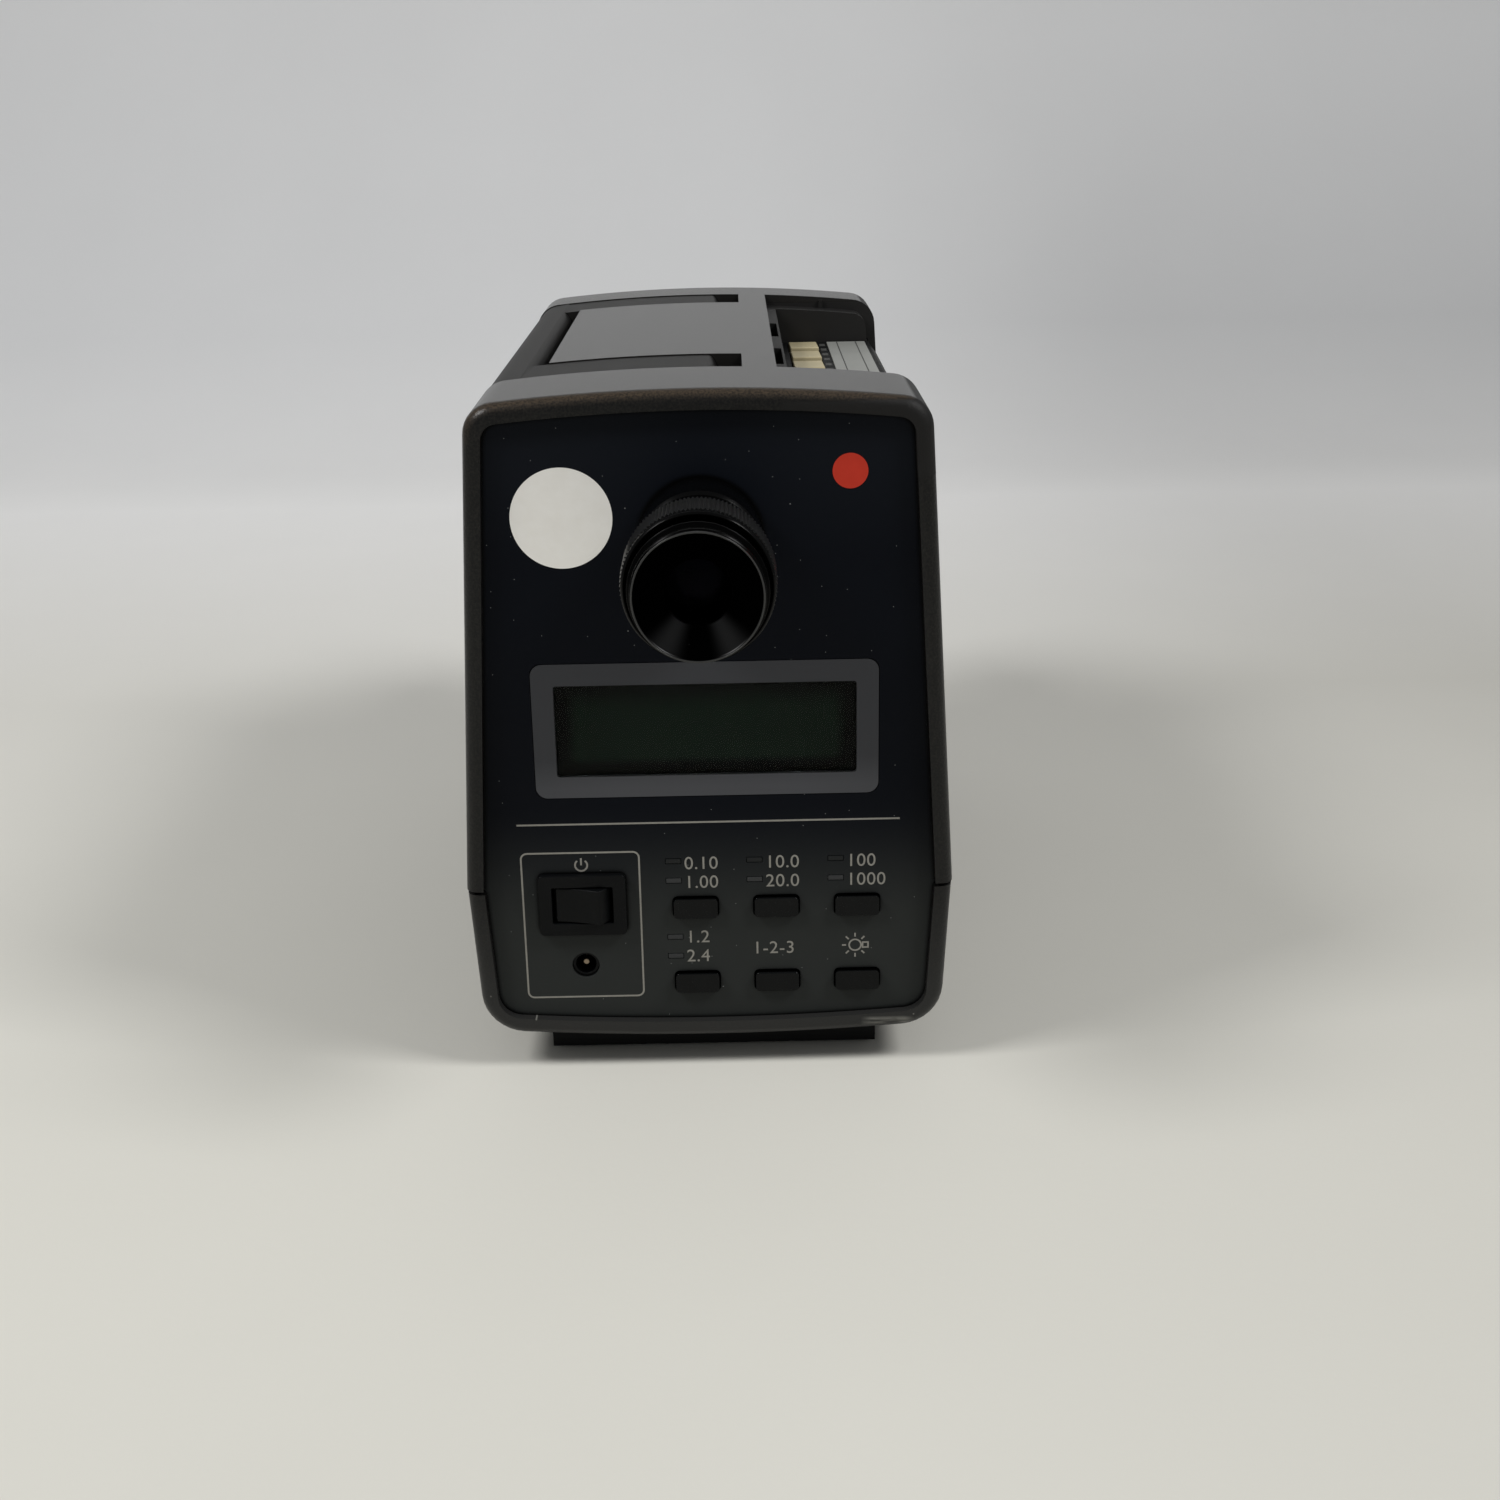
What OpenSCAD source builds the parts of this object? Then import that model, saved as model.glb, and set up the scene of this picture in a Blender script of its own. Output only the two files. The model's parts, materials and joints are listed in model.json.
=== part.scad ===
// Luminance colorimeter: a table-top optical meter with an eyepiece and a control panel at one end,
// an objective at the other, a fold-down carrying handle and an open settings bay on top.
// X runs to the operator's right, Y from the operator towards the subject, Z up.
// The part rests on Z = 0 with its origin under the middle of its overall length.

/* [Case] */
// Width of the case at its parting line
body_w = 150; // [142:1:165]
// Length of the case from the front rim to the rear edge
body_l = 271; // [262:1:300]
// Height of the case without its feet
case_h = 204; // [197:1:215]
// Height of the parting line above the underside of the case
seam_h = 51; // [46:1:56]
// Open groove between the two half shells
seam_gap = 1; // [0.4:0.1:1.6]
// Step back of the lower shell from the upper shell at the parting line
seam_step = 0.3; // [0.1:0.1:1]
// Radius of the crowned top
crown_r = 570; // [450:10:800]
// Radius of the bellied underside
belly_r = 840; // [600:10:1200]
// Inward lean of the upper sides in degrees
upper_taper = 3.1; // [2:0.1:4]
// Inward lean of the lower sides in degrees
lower_taper = 3.3; // [2:0.1:5]
// Radius of the top corners
top_corner_r = 9.5; // [8:0.5:12]
// Radius of the bottom corners
bottom_corner_r = 14; // [11:0.5:18]
// Wall thickness of both shells
wall = 3; // [2.4:0.1:3.6]
// Rounding of the front and rear edges
edge_r = 4; // [1:0.1:4.2]
// Height of the tongue that closes the parting line inside
tongue_h = 1.6; // [1.2:0.1:2.5]

/* [Rim and panels] */
// Rim width beside the panels
rim_side = 5.5; // [4.6:0.1:7]
// Rim width above the panels
rim_top = 5.8; // [5:0.1:7]
// Rim width below the panels
rim_bottom = 5.9; // [4.6:0.1:8]
// Height of the rim in front of the panels
rim_proud = 3; // [2:0.1:4]
// Radius of the rim's inner top corners
rim_top_r = 5; // [3:0.5:6]
// Radius of the rim's inner bottom corners
rim_bottom_r = 7.5; // [5:0.5:9]
// Thickness of the front and rear panels
panel_t = 2.5; // [2:0.1:3]
// Gap between a panel's edge and the shells
panel_clear = 0.3; // [0.1:0.1:0.6]

/* [Display] */
// Width of the display window
window_w = 103.8; // [96:0.2:110]
// Height of the display window
window_h = 42.3; // [38:0.1:48]
// Thickness of the display window
window_t = 1.5; // [1:0.1:1.8]
// Corner radius of the display window
window_r = 3.5; // [2:0.5:6]
// Height of the display's middle above the underside of the case
display_h = 102; // [98:0.5:106]
// Width of the visible liquid crystal area
lcd_w = 90.6; // [80:0.2:92]
// Height of the visible liquid crystal area
lcd_h = 28.8; // [24:0.2:32]
// Depth of the display module
lcd_depth = 8; // [6:0.5:12]

/* [Keys and lights] */
// Width of a front key
key_w = 13.6; // [10:0.2:16]
// Height of a front key
key_h = 6.4; // [5:0.1:9]
// Corner radius of a front key
key_r = 1.2; // [0.5:0.1:2]
// Distance between key columns
key_pitch_x = 25; // [21:0.5:26]
// Distance between key rows
key_pitch_z = 25.4; // [23:0.1:28]
// Middle column's distance to the right of the case centre
key_x = 20.5; // [18:0.5:22]
// Upper key row's height above the underside of the case
key_row_h = 44; // [42:0.1:46]
// Height of a key in front of the panel
key_proud = 1.8; // [1.4:0.1:3]
// Travel of a key
key_travel = 1; // [0.5:0.1:1.2]
// Gap between a key and its opening
key_clear = 0.35; // [0.2:0.05:0.5]
// Width of an indicator light
light_w = 4.7; // [3:0.1:6]
// Height of an indicator light
light_h = 1.6; // [1:0.1:2.4]

/* [Power] */
// Switch and inlet distance to the left of the case centre
power_x = 39.4; // [36:0.2:42]
// Switch's height above the underside of the case
switch_h = 46; // [44:0.2:48]
// Width of the switch bezel
bezel_w = 27; // [25:0.5:29]
// Height of the switch bezel
bezel_h = 20; // [17:0.5:22]
// Height of the bezel in front of the panel
bezel_proud = 2.2; // [1.5:0.1:3]
// Width of the rocker's opening
rocker_w = 18.8; // [16:0.2:20]
// Height of the rocker
rocker_h = 11.2; // [9:0.2:13]
// Tilt of the rocker either side of its middle in degrees
rocker_tilt = 13; // [8:1:15]
// Power inlet's height above the underside of the case
inlet_h = 24.8; // [22:0.2:27]
// Hole of the power inlet in the panel
inlet_d = 8.5; // [7:0.1:10]
// Diameter of the inlet's centre contact
contact_d = 2.1; // [1.5:0.1:2.5]

/* [Eyepiece] */
// Height of the optical axis below the crown of the case
axis_drop = 43.5; // [40:0.5:48]
// Diameter of the eyepiece base
eye_base_d = 36.4; // [34:0.2:40]
// Length of the wide eyepiece base
eye_base_l = 17; // [12:0.5:20]
// Diameter of the eyepiece neck behind the diopter ring
eye_neck_d = 34; // [32.5:0.1:35]
// Length from the panel to the diopter ring
eye_neck_l = 37; // [32:0.5:42]
// Outer diameter of the diopter ring
diopter_d = 42; // [38:0.5:46]
// Length of the diopter ring
diopter_l = 20; // [16:0.5:24]
// Ridges round the diopter ring
diopter_ridges = 90; // [60:1:120]
// Outer diameter of the eyecup
eyecup_d = 36; // [33:0.5:38]
// Length of the eyecup
eyecup_l = 7; // [5:0.5:9]
// Diameter of the eyecup's mouth
eyecup_mouth_d = 32.5; // [28:0.5:33.5]
// Diameter of the hole at the bottom of the eyecup
eyecup_hole_d = 18; // [14:0.5:20]
// Sliding eye tube's outer diameter
eye_tube_d = 26; // [24:0.5:27]
// Depth of the eye lens behind the eyecup
eye_lens_set = 8; // [4:0.5:12]
// Travel of the eye tube either way
eye_travel = 2; // [1:0.1:2.5]
// Radial running gap of turning and sliding fits
run_clear = 0.05; // [0.02:0.01:0.08]

/* [Objective] */
// Diameter of the objective's fixed flange
objective_flange_d = 66; // [62:0.5:72]
// Thickness of the objective's flange
objective_flange_t = 8; // [6:0.5:10]
// Diameter of the objective's fixed barrel
objective_barrel_d = 52; // [48:0.5:56]
// Diameter of the focus ring
focus_d = 64; // [60:0.5:70]
// Length of the focus ring
focus_l = 22; // [18:0.5:26]
// Ribs round the focus ring
focus_ribs = 48; // [30:1:60]
// Diameter of the moving lens tube
lens_tube_d = 45; // [42:0.5:47]
// Diameter of the lens tube's front rim
lens_rim_d = 58; // [54:0.5:60]
// Length of the lens tube's front rim
lens_rim_l = 21; // [18:0.5:26]
// Clear diameter of the front lens
lens_d = 40; // [36:0.5:42]
// Focusing travel of the lens tube
focus_travel = 8; // [4:0.5:10]

/* [Handle] */
// Length of the collar in front of the handle and the settings bay
collar_front = 44.5; // [42:0.5:52]
// Length of the collar behind them
collar_rear = 29; // [26:1:34]
// Distance of the platform's left edge from the case centre
platform_edge = 48; // [44:0.5:50]
// Gap for the fingers between the platform and the grip
finger_gap = 3.5; // [2.5:0.1:5]
// Depth of the grip's recess below the crown
grip_drop = 17.5; // [16:0.5:22]
// Width of a handle arm
arm_w = 27; // [20:0.5:30]
// Thickness of a handle arm
arm_t = 7; // [6:0.5:8]
// Depth of the arms' top below the crown
arm_drop = 3.3; // [3:0.1:4]
// Gap round the folded handle
arm_clear = 0.5; // [0.3:0.1:0.8]
// Pivot's distance to the right of the case centre
pivot_x = 2.5; // [0:0.5:5]
// Diameter of a pivot pin
pivot_d = 4; // [3:0.1:5]
// Right end of the arm slots from the case centre
slot_end = 13; // [10:0.5:15]

/* [Settings bay] */
// Left edge of the bay from the case centre
bay_x = 23.5; // [22:0.5:27]
// Width of the lid ledge on the left and in front
ledge_w = 4; // [3.5:0.5:6]
// Width of the lid ledge at the rear
ledge_rear_w = 10; // [8:0.5:12]
// Depth of the lid ledge below the crown
ledge_drop = 4.3; // [4:0.1:5.5]
// Depth of the bay's floor below the crown
bay_drop = 18.5; // [17:0.5:20]
// Depth of the lid's seat beside the bay below its floor
seat_drop = 5.5; // [4:0.1:6]
// Notches along the left ledge
notch_n = 2; // [1:1:2]
// Length of a notch
notch_l = 37; // [16:1:40]
// Distance from the inner bay's front end to the middle of the first notch
notch_first = 51; // [40:1:60]
// Distance between the notches
notch_pitch = 67.5; // [60:0.5:72]
// Distance between setting keys along the row
setting_pitch = 26; // [22:0.5:28]
// Width of a setting key
setting_w = 11; // [8:0.5:11]
// Gap between a setting key and its opening
setting_clear = 0.4; // [0.3:0.05:0.6]
// Height of a setting key's front edge above the bay's floor
setting_proud = 1.8; // [1.5:0.1:3]
// Travel of a setting key
setting_travel = 1.2; // [0.6:0.1:1.5]
// Setting keys' middle from the case centre
setting_x = 38; // [37:0.2:39]
// Width of the printed plate beside the setting keys
plate_w = 15; // [12:0.5:15]
// Printed plate's middle from the case centre
plate_x = 55.1; // [54.8:0.1:55.6]

/* [Base] */
// Height of the case above the ground
foot_h = 10; // [8:0.5:14]
// Width of the base plate
base_w = 104; // [90:1:110]
// Length of the base plate
base_l = 230; // [200:1:250]
// Distance of the base plate behind the front panel
base_y = 10; // [6:1:20]
// Height of the rubber pads below the base plate
pad_proud = 1.5; // [1:0.1:2.5]
// Diameter of a rubber pad
pad_d = 16; // [12:0.5:20]
// Distance of a pad's middle from the base plate's edges
pad_inset = 12; // [11:0.5:20]
// Tripod socket's hole diameter
tripod_d = 6.35; // [5.5:0.05:9.5]
// Depth of the tripod socket
tripod_l = 7; // [5:0.5:7.5]
// Outer diameter of the tripod bush
bush_d = 14; // [12:0.5:20]
// Shank diameter of the case screws
screw_d = 4; // [3:0.5:5]
// Diameter of the posts round the case screws
post_d = 10; // [9:0.5:12]

/* [Inside] */
// Half width of the optical bench
bench_half = 46; // [42:0.5:50]
// Sheet thickness of the optical bench
bench_t = 3; // [2:0.5:4]
// Depth of the bench top below the optical axis
bench_drop = 48; // [44:0.5:52]
// Diameter of the finder tube
finder_d = 29; // [26:0.5:30]
// Side of the square half mirror
mirror_w = 30; // [26:0.5:34]
// Thickness of the half mirror
mirror_t = 3; // [2:0.5:4]
// Diameter of the filter wheel
wheel_d = 74; // [68:1:80]
// Thickness of the filter wheel
wheel_t = 4; // [3:0.5:6]
// Diameter of a colour filter
filter_d = 16; // [12:0.5:18]
// Diameter of the wheel's shaft
shaft_d = 5; // [4:0.5:6]
// Diameter of the filter motor
motor_d = 35; // [30:0.5:38]
// Length of the filter motor
motor_l = 22; // [18:0.5:26]
// Thickness of the circuit boards
board_t = 1.6; // [1:0.1:2]

/* [Hidden] */
$fn = 64;

// Margin by which a cut passes the face it opens
past = 1;
// Overlap that joins two shapes of one piece
fuse = 0.5;
// Far reach of cuts that leave the case sideways or upwards
reach = 60;
// Segments of the corner, crown and edge roundings
corner_n = 8;
crown_n = 10;
edge_n = 5;

z_base = foot_h;
z_seam = foot_h + seam_h;
z_upper = z_seam + seam_gap / 2;
z_lower = z_seam - seam_gap / 2;
z_top = foot_h + case_h;
y_front = -rim_proud;
y_rear = body_l - rim_proud;
y_back = y_rear - rim_proud;
axis_z = z_top - axis_drop;

// Outlines across the case
function lean(t) = [-sin(t), cos(t)];
function outward(t) = [cos(t), sin(t)];
function arc(c, r, a, b, n) = [for (i = [0 : n]) c + r * outward(a + (b - a) * i / n)];
function tail(v) = [for (i = [1 : len(v) - 1]) v[i]];
function mirrored(v) = [for (i = [len(v) - 2 : -1 : 0]) [-v[i][0], v[i][1]]];
function upended(v) = [for (i = [len(v) - 1 : -1 : 0]) [v[i][0], -v[i][1]]];

// Centre of the corner arc that touches a leaning side through p and the crown arc about o
function corner_centre(p, t, o, r_crown, r) =
    let (q = p - r * outward(t) - o, b = q * lean(t))
    p - r * outward(t) + (sqrt(b * b - q * q + pow(r_crown - r, 2)) - b) * lean(t);

// Closed outline from height z on the right side, over the crown, to height z on the left side
function crowned(p, t, o, r_crown, r, z) =
    let (
        c = corner_centre(p, t, o, r_crown, r),
        a = atan2(c[1] - o[1], c[0] - o[0]),
        side = p + lean(t) * (z - p[1]) / cos(t),
        half = concat([side], arc(c, r, t, a, corner_n), tail(arc(o, r_crown, a, 90, crown_n)))
    )
    concat(half, mirrored(half));

function upper_outline(side, top, r, z) = crowned(
    [body_w / 2, z_seam] - side * outward(upper_taper), upper_taper,
    [0, z_top - crown_r], crown_r - top, r, z);

function lower_outline(side, bottom, r, z) = upended(crowned(
    [body_w / 2 - seam_step, -z_seam] - side * outward(lower_taper), lower_taper,
    [0, -z_base - belly_r], belly_r - bottom, r, -z));

function upper_inset(d, z) = upper_outline(d, d, top_corner_r - d, z);
function lower_inset(d, z) = lower_outline(d, d, bottom_corner_r - d, z);

// Outer half width of the upper shell at height z
function side_x(z) = body_w / 2 - (z - z_seam) * tan(upper_taper);
// Height of the crown at distance x from the centre
function crown_z(x) = z_top - crown_r + sqrt(crown_r * crown_r - x * x);

// Outlines at both rounded ends of a shell, front to rear
function shell_rings(upper) =
    let (
        inset = [for (i = [0 : edge_n]) edge_r * (1 - sin(90 * i / edge_n))],
        back = [for (i = [0 : edge_n]) edge_r * (1 - cos(90 * i / edge_n))],
        ring = [for (d = inset) upper ? upper_inset(d, z_upper) : lower_inset(d, z_lower)]
    )
    concat([for (i = [0 : edge_n]) [ring[i], y_front + back[i]]],
        [for (i = [edge_n : -1 : 0]) [ring[i], y_rear - back[i]]]);

// Solid through a row of outlines, each a list of points and its place along Y
module loft(rings) {
    n = len(rings[0][0]);
    last = (len(rings) - 1) * n;
    points = [for (g = rings) for (q = g[0]) [q[0], g[1], q[1]]];
    sides = [for (k = [0 : len(rings) - 2]) for (i = [0 : n - 1])
        [k * n + i, k * n + (i + 1) % n, (k + 1) * n + (i + 1) % n, (k + 1) * n + i]];
    polyhedron(points, concat([[for (i = [n - 1 : -1 : 0]) i], [for (i = [0 : n - 1]) last + i]], sides));
}

// Extrudes a shape drawn across the case from y0 to y1
module along_y(y0, y1) translate([0, y1, 0]) rotate([90, 0, 0]) linear_extrude(y1 - y0) children();
// Round bar along Y
module rod_y(x, z, y0, y1, d) translate([x, y1, z]) rotate([90, 0, 0]) cylinder(h = y1 - y0, d = d);
// Box between two corners
module block(low, high) translate(low) cube(high - low);
// Rectangle with round corners, centred
module round_rect(w, h, r) {
    square([w - 2 * r, h], center = true);
    square([w, h - 2 * r], center = true);
    for (x = [-1, 1], z = [-1, 1]) translate([x * (w / 2 - r), z * (h / 2 - r)]) circle(r);
}
// Turned shape about the optical axis, drawn as radius and distance in front of the panel
module turned() translate([0, 0, axis_z]) rotate([90, 0, 0]) rotate_extrude() children();
// Turned ring between two distances, drawn by its radii
module ring(y0, y1, d_out, d_in) along_y(y0, y1) translate([0, axis_z]) difference() {
    circle(d = d_out);
    circle(d = d_in);
}
// Outline of a ring with fine ridges
module ridged(d, depth, n) polygon([for (i = [0 : 2 * n - 1])
    (d / 2 - depth * (i % 2)) * outward(180 * i / n)]);

// Handle and settings bay
bay_y0 = y_front + collar_front;
bay_y1 = y_rear - collar_rear;
arm_z1 = z_top - arm_drop;
arm_z0 = arm_z1 - arm_t;
pivot_z = (arm_z0 + arm_z1) / 2;
slot_w = arm_w + 2 * arm_clear;
grip_z = z_top - grip_drop;
pin_reach = 2;
pin_clear = 0.02;
floor_z = z_top - bay_drop;
lip = 0.7;
inner_y0 = bay_y0 + ledge_w;
inner_y1 = bay_y1 - ledge_rear_w;
bay_right = side_x(floor_z) - wall / cos(upper_taper);
seat_z1 = floor_z - seat_drop;
seat_lap = 1;
panel_right = bay_right - panel_clear;
settings_t = 2.5;
row_margin = 0.6;
row_y1 = inner_y1 - row_margin;
catch_w = 1.4;
catch_dx = 7;
catch_x = setting_x + catch_dx;
notch_rim = 0.8;
notch_drop = 6;
notch_z = crown_z(bay_x) - ledge_drop - notch_drop;

// Spaces of the two arms along Y
arm_spans = [[bay_y0, bay_y0 + slot_w], [bay_y1 - slot_w, bay_y1]];

module shell_core(d, y0, y1) along_y(y0, y1) polygon(upper_inset(d, z_seam - past));

// Recess for the folded handle, grown by g
module handle_recess(g) {
    block([-body_w, bay_y0 - g, grip_z - g], [-platform_edge + g, bay_y1 + g, z_top + reach]);
    for (s = arm_spans)
        block([-platform_edge - fuse, s[0] - g, arm_z0 - arm_clear - g],
            [slot_end + g, s[1] + g, z_top + reach]);
}

// Sloping seat of the lid's skirt, where the right wall is cut down
module skirt_seat(y0, y1) along_y(y0, y1) polygon([
    [bay_right - seat_lap, floor_z],
    [side_x(seat_z1), seat_z1],
    [body_w, seat_z1],
    [body_w, z_top + reach],
    [bay_right - seat_lap, z_top + reach]]);

// Open space of the settings bay with its lid ledge
module bay_space() {
    difference() {
        union() {
            block([bay_x, bay_y0, floor_z + lip], [body_w, bay_y1, z_top + reach]);
            skirt_seat(bay_y0, bay_y1);
        }
        along_y(bay_y0 - past, bay_y1 + past) polygon(upper_inset(ledge_drop, z_seam));
    }
    skirt_seat(inner_y0, inner_y1);
    block([bay_x + ledge_w, inner_y0, floor_z - past], [bay_right, inner_y1, z_top + reach]);
    block([bay_x + ledge_w, inner_y0, floor_z + lip], [body_w, inner_y1, z_top + reach]);
    for (i = [0 : notch_n - 1])
        translate([bay_x, inner_y0 + notch_first + i * notch_pitch - notch_l / 2, notch_z])
            cube([ledge_w - notch_rim, notch_l, reach]);
}

// Tongue of the lower shell and its rebate in the upper shell
tongue_t = wall / 2;
tongue_clear = 0.2;
shell_y0 = panel_t + past;
shell_y1 = y_back - panel_t - past;

module tongue() intersection() {
    along_y(shell_y0, shell_y1) difference() {
        polygon(lower_inset(wall - tongue_t, z_seam + tongue_h));
        polygon(lower_inset(wall, z_seam + tongue_h + past));
    }
    block([-body_w, 0, z_seam - tongue_h], [body_w, body_l, z_seam + tongue_h]);
}

module tongue_rebate() intersection() {
    shell_core(wall - tongue_t - tongue_clear, shell_y0 - tongue_clear, shell_y1 + tongue_clear);
    block([-body_w, 0, z_seam - past], [body_w, body_l, z_seam + tongue_h + tongue_clear]);
}

// Case screws stand in four posts
post_inset_x = 15;
post_inset_y = 22;
post_x = body_w / 2 - post_inset_x;
post_ys = [post_inset_y, y_back - post_inset_y];
screw_head_d = 7;
screw_head_h = 3;
counterbore = 4;
boss_h = 18;
thread_h = 12;
screw_clear = 0.25;
head_clear = 0.5;
head_z = z_base + wall + counterbore;

module at_posts() for (x = [-1, 1], y = post_ys) translate([x * post_x, y, 0]) children();

module upper_cover() color("dimgray") difference() {
    union() {
        difference() {
            loft(shell_rings(true));
            along_y(0, y_back) polygon(upper_inset(wall, z_seam - past));
            for (y = [y_front, y_back])
                along_y(y - past, y + rim_proud + past)
                    polygon(upper_outline(rim_side, rim_top, rim_top_r, z_seam - past));
        }
        intersection() {
            shell_core(past, shell_y0, shell_y1);
            union() {
                handle_recess(wall);
                block([bay_x - wall, bay_y0 - wall, floor_z], [body_w, bay_y1 + wall, z_top + reach]);
            }
        }
        intersection() {
            shell_core(past, shell_y0, shell_y1);
            at_posts() translate([0, 0, z_upper]) cylinder(h = boss_h, d = post_d);
        }
        for (x = [-1, 1], y = post_ys)
            intersection() {
                shell_core(past, shell_y0, shell_y1);
                block([min(x * post_x, x * body_w), y - wall / 2, z_upper],
                    [max(x * post_x, x * body_w), y + wall / 2, z_upper + boss_h]);
            }
    }
    tongue_rebate();
    handle_recess(0);
    difference() {
        bay_space();
        translate([catch_x, bay_y1 - catch_w, crown_z(catch_x) - ledge_drop - past])
            cube([catch_w, catch_w + past, ledge_drop]);
    }
    for (s = arm_spans)
        rod_y(pivot_x, pivot_z, s[0] - pin_reach, s[1] + pin_reach, pivot_d + 2 * pin_clear);
    at_posts() translate([0, 0, z_seam]) cylinder(h = thread_h + past, d = screw_d + 2 * pin_clear);
}

bench_z1 = axis_z - bench_drop;
bench_y0 = 22;
bench_back = 15;
bench_y1 = y_back - bench_back;
bench_lift = 4;
bench_foot_z = z_base + wall + bench_lift;
foot_pad_w = 12;
board_lift = 12;
board_z = z_base + wall + board_lift;
board_half = 38;
board_y0 = 60;
board_y1 = 220;
board_post_d = 8;
post_z0 = z_base + wall / 2;

module lower_case() color("dimgray") difference() {
    union() {
        difference() {
            loft(shell_rings(false));
            along_y(0, y_back) polygon(lower_inset(wall, z_seam + past));
            for (y = [y_front, y_back])
                along_y(y - past, y + rim_proud + past)
                    polygon(lower_outline(rim_side, rim_bottom, rim_bottom_r, z_seam + past));
        }
        tongue();
        at_posts() translate([0, 0, post_z0]) cylinder(h = z_lower - post_z0, d = post_d);
        for (x = [-1, 1], y = [bench_y0, bench_y1 - foot_pad_w])
            block([x * (bench_half - bench_t / 2) - foot_pad_w / 2, y, post_z0],
                [x * (bench_half - bench_t / 2) + foot_pad_w / 2, y + foot_pad_w, bench_foot_z]);
        for (x = [-1, 1], y = [board_y0 + board_post_d, board_y1 - board_post_d])
            translate([x * (board_half - board_post_d), y, post_z0])
                cylinder(h = board_z - post_z0, d = board_post_d);
    }
    at_posts() {
        translate([0, 0, z_base - past])
            cylinder(h = head_z - z_base + past, d = screw_head_d + 2 * head_clear);
        cylinder(h = z_seam, d = screw_d + 2 * screw_clear);
    }
}

// Outline shared by both panels
module panel_outline() {
    polygon(upper_inset(wall + panel_clear, z_seam - fuse));
    polygon(lower_inset(wall + panel_clear, z_seam + fuse));
}

display_z = z_base + display_h;
window_clear = 0.15;
window_proud = 0.1;
view_margin = 1;
key_zs = [z_base + key_row_h, z_base + key_row_h - key_pitch_z];
key_xs = [for (i = [-1 : 1]) key_x + i * key_pitch_x];
switch_z = z_base + switch_h;
inlet_z = z_base + inlet_h;
switch_wall = 1.7;
switch_body_w = rocker_w + 2 * switch_wall;
switch_body_h = rocker_h + 2 * switch_wall;
switch_depth = 18;
switch_clear = 0.2;

// Lights stand left of the legends, in pairs above the upper keys and by the first lower key
light_dx = 6.6;
light_dz = 8.9;
light_step = 6.5;
light_low_dz = 8.8;
light_clear = 0.1;
light_spots = concat(
    [for (x = key_xs, k = [0, 1]) [x - light_dx, key_zs[0] + light_dz + k * light_step]],
    [for (k = [0, 1]) [key_xs[0] - light_dx, key_zs[1] + light_low_dz + k * light_step]]);

module at_keys() for (x = key_xs, z = key_zs) translate([x, z]) children();
module at_lights() for (s = light_spots) translate(s) children();

module front_panel() color("midnightblue") difference() {
    along_y(0, panel_t) panel_outline();
    along_y(-past, window_t - window_proud + window_clear) translate([0, display_z])
        round_rect(window_w + 2 * window_clear, window_h + 2 * window_clear, window_r);
    along_y(-past, panel_t + past) {
        translate([0, display_z]) square([lcd_w + 2 * view_margin, lcd_h + 2 * view_margin], center = true);
        at_keys() round_rect(key_w + 2 * key_clear, key_h + 2 * key_clear, key_r + key_clear);
        at_lights() square([light_w + 2 * light_clear, light_h + 2 * light_clear], center = true);
        translate([-power_x, switch_z])
            square([switch_body_w + 2 * switch_clear, switch_body_h + 2 * switch_clear], center = true);
    }
    rod_y(-power_x, inlet_z, -past, panel_t + past, inlet_d);
    rod_y(0, axis_z, -past, panel_t + past, finder_d + 2 * panel_clear);
}

module rear_panel() color("darkslategray") difference() {
    along_y(y_back - panel_t, y_back) panel_outline();
    rod_y(0, axis_z, y_back - panel_t - past, y_back + past, objective_barrel_d + 2 * panel_clear);
}

module display_window() color("slategray") along_y(-window_proud, window_t - window_proud)
    translate([0, display_z]) round_rect(window_w, window_h, window_r);

lcd_gap = 0.2;
lcd_frame = 5;
module lcd_module() color("darkgreen") along_y(panel_t + lcd_gap, panel_t + lcd_gap + lcd_depth)
    translate([0, display_z]) square([lcd_w + 2 * lcd_frame, lcd_h + 2 * lcd_frame], center = true);

bezel_r = 1.5;
rocker_gap = 0.4;
pivot_back = 3;
trunnion_d = 2.4;
trunnion_l = 1.2;
trunnion_span = rocker_h + 2 * trunnion_l;
module switch_bezel() color("black") difference() {
    union() {
        along_y(-bezel_proud, 0) translate([-power_x, switch_z]) round_rect(bezel_w, bezel_h, bezel_r);
        along_y(-fuse, switch_depth) translate([-power_x, switch_z])
            square([switch_body_w, switch_body_h], center = true);
    }
    along_y(-bezel_proud - past, rocker_w / 2 + pivot_back + rocker_gap) translate([-power_x, switch_z])
        square([rocker_w, rocker_h + 2 * rocker_gap], center = true);
    translate([-power_x, pivot_back, switch_z])
        cylinder(h = trunnion_span + 2 * rocker_gap, d = trunnion_d + 2 * run_clear, center = true);
}

// The rocker is a drum about its pivot with a hollowed face, at rest tipped towards the left
rocker_r = rocker_w / 2 - rocker_gap / 2;
face_r = 40;
face_rise = 5.6;
module power_rocker() color("black") translate([-power_x, pivot_back, switch_z]) {
    rotate([0, 0, -rocker_tilt]) translate([0, 0, -rocker_h / 2]) linear_extrude(rocker_h) difference() {
        circle(rocker_r);
        translate([0, -face_rise - face_r]) circle(face_r, $fn = 256);
    }
    cylinder(h = trunnion_span, d = trunnion_d, center = true);
}

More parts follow.
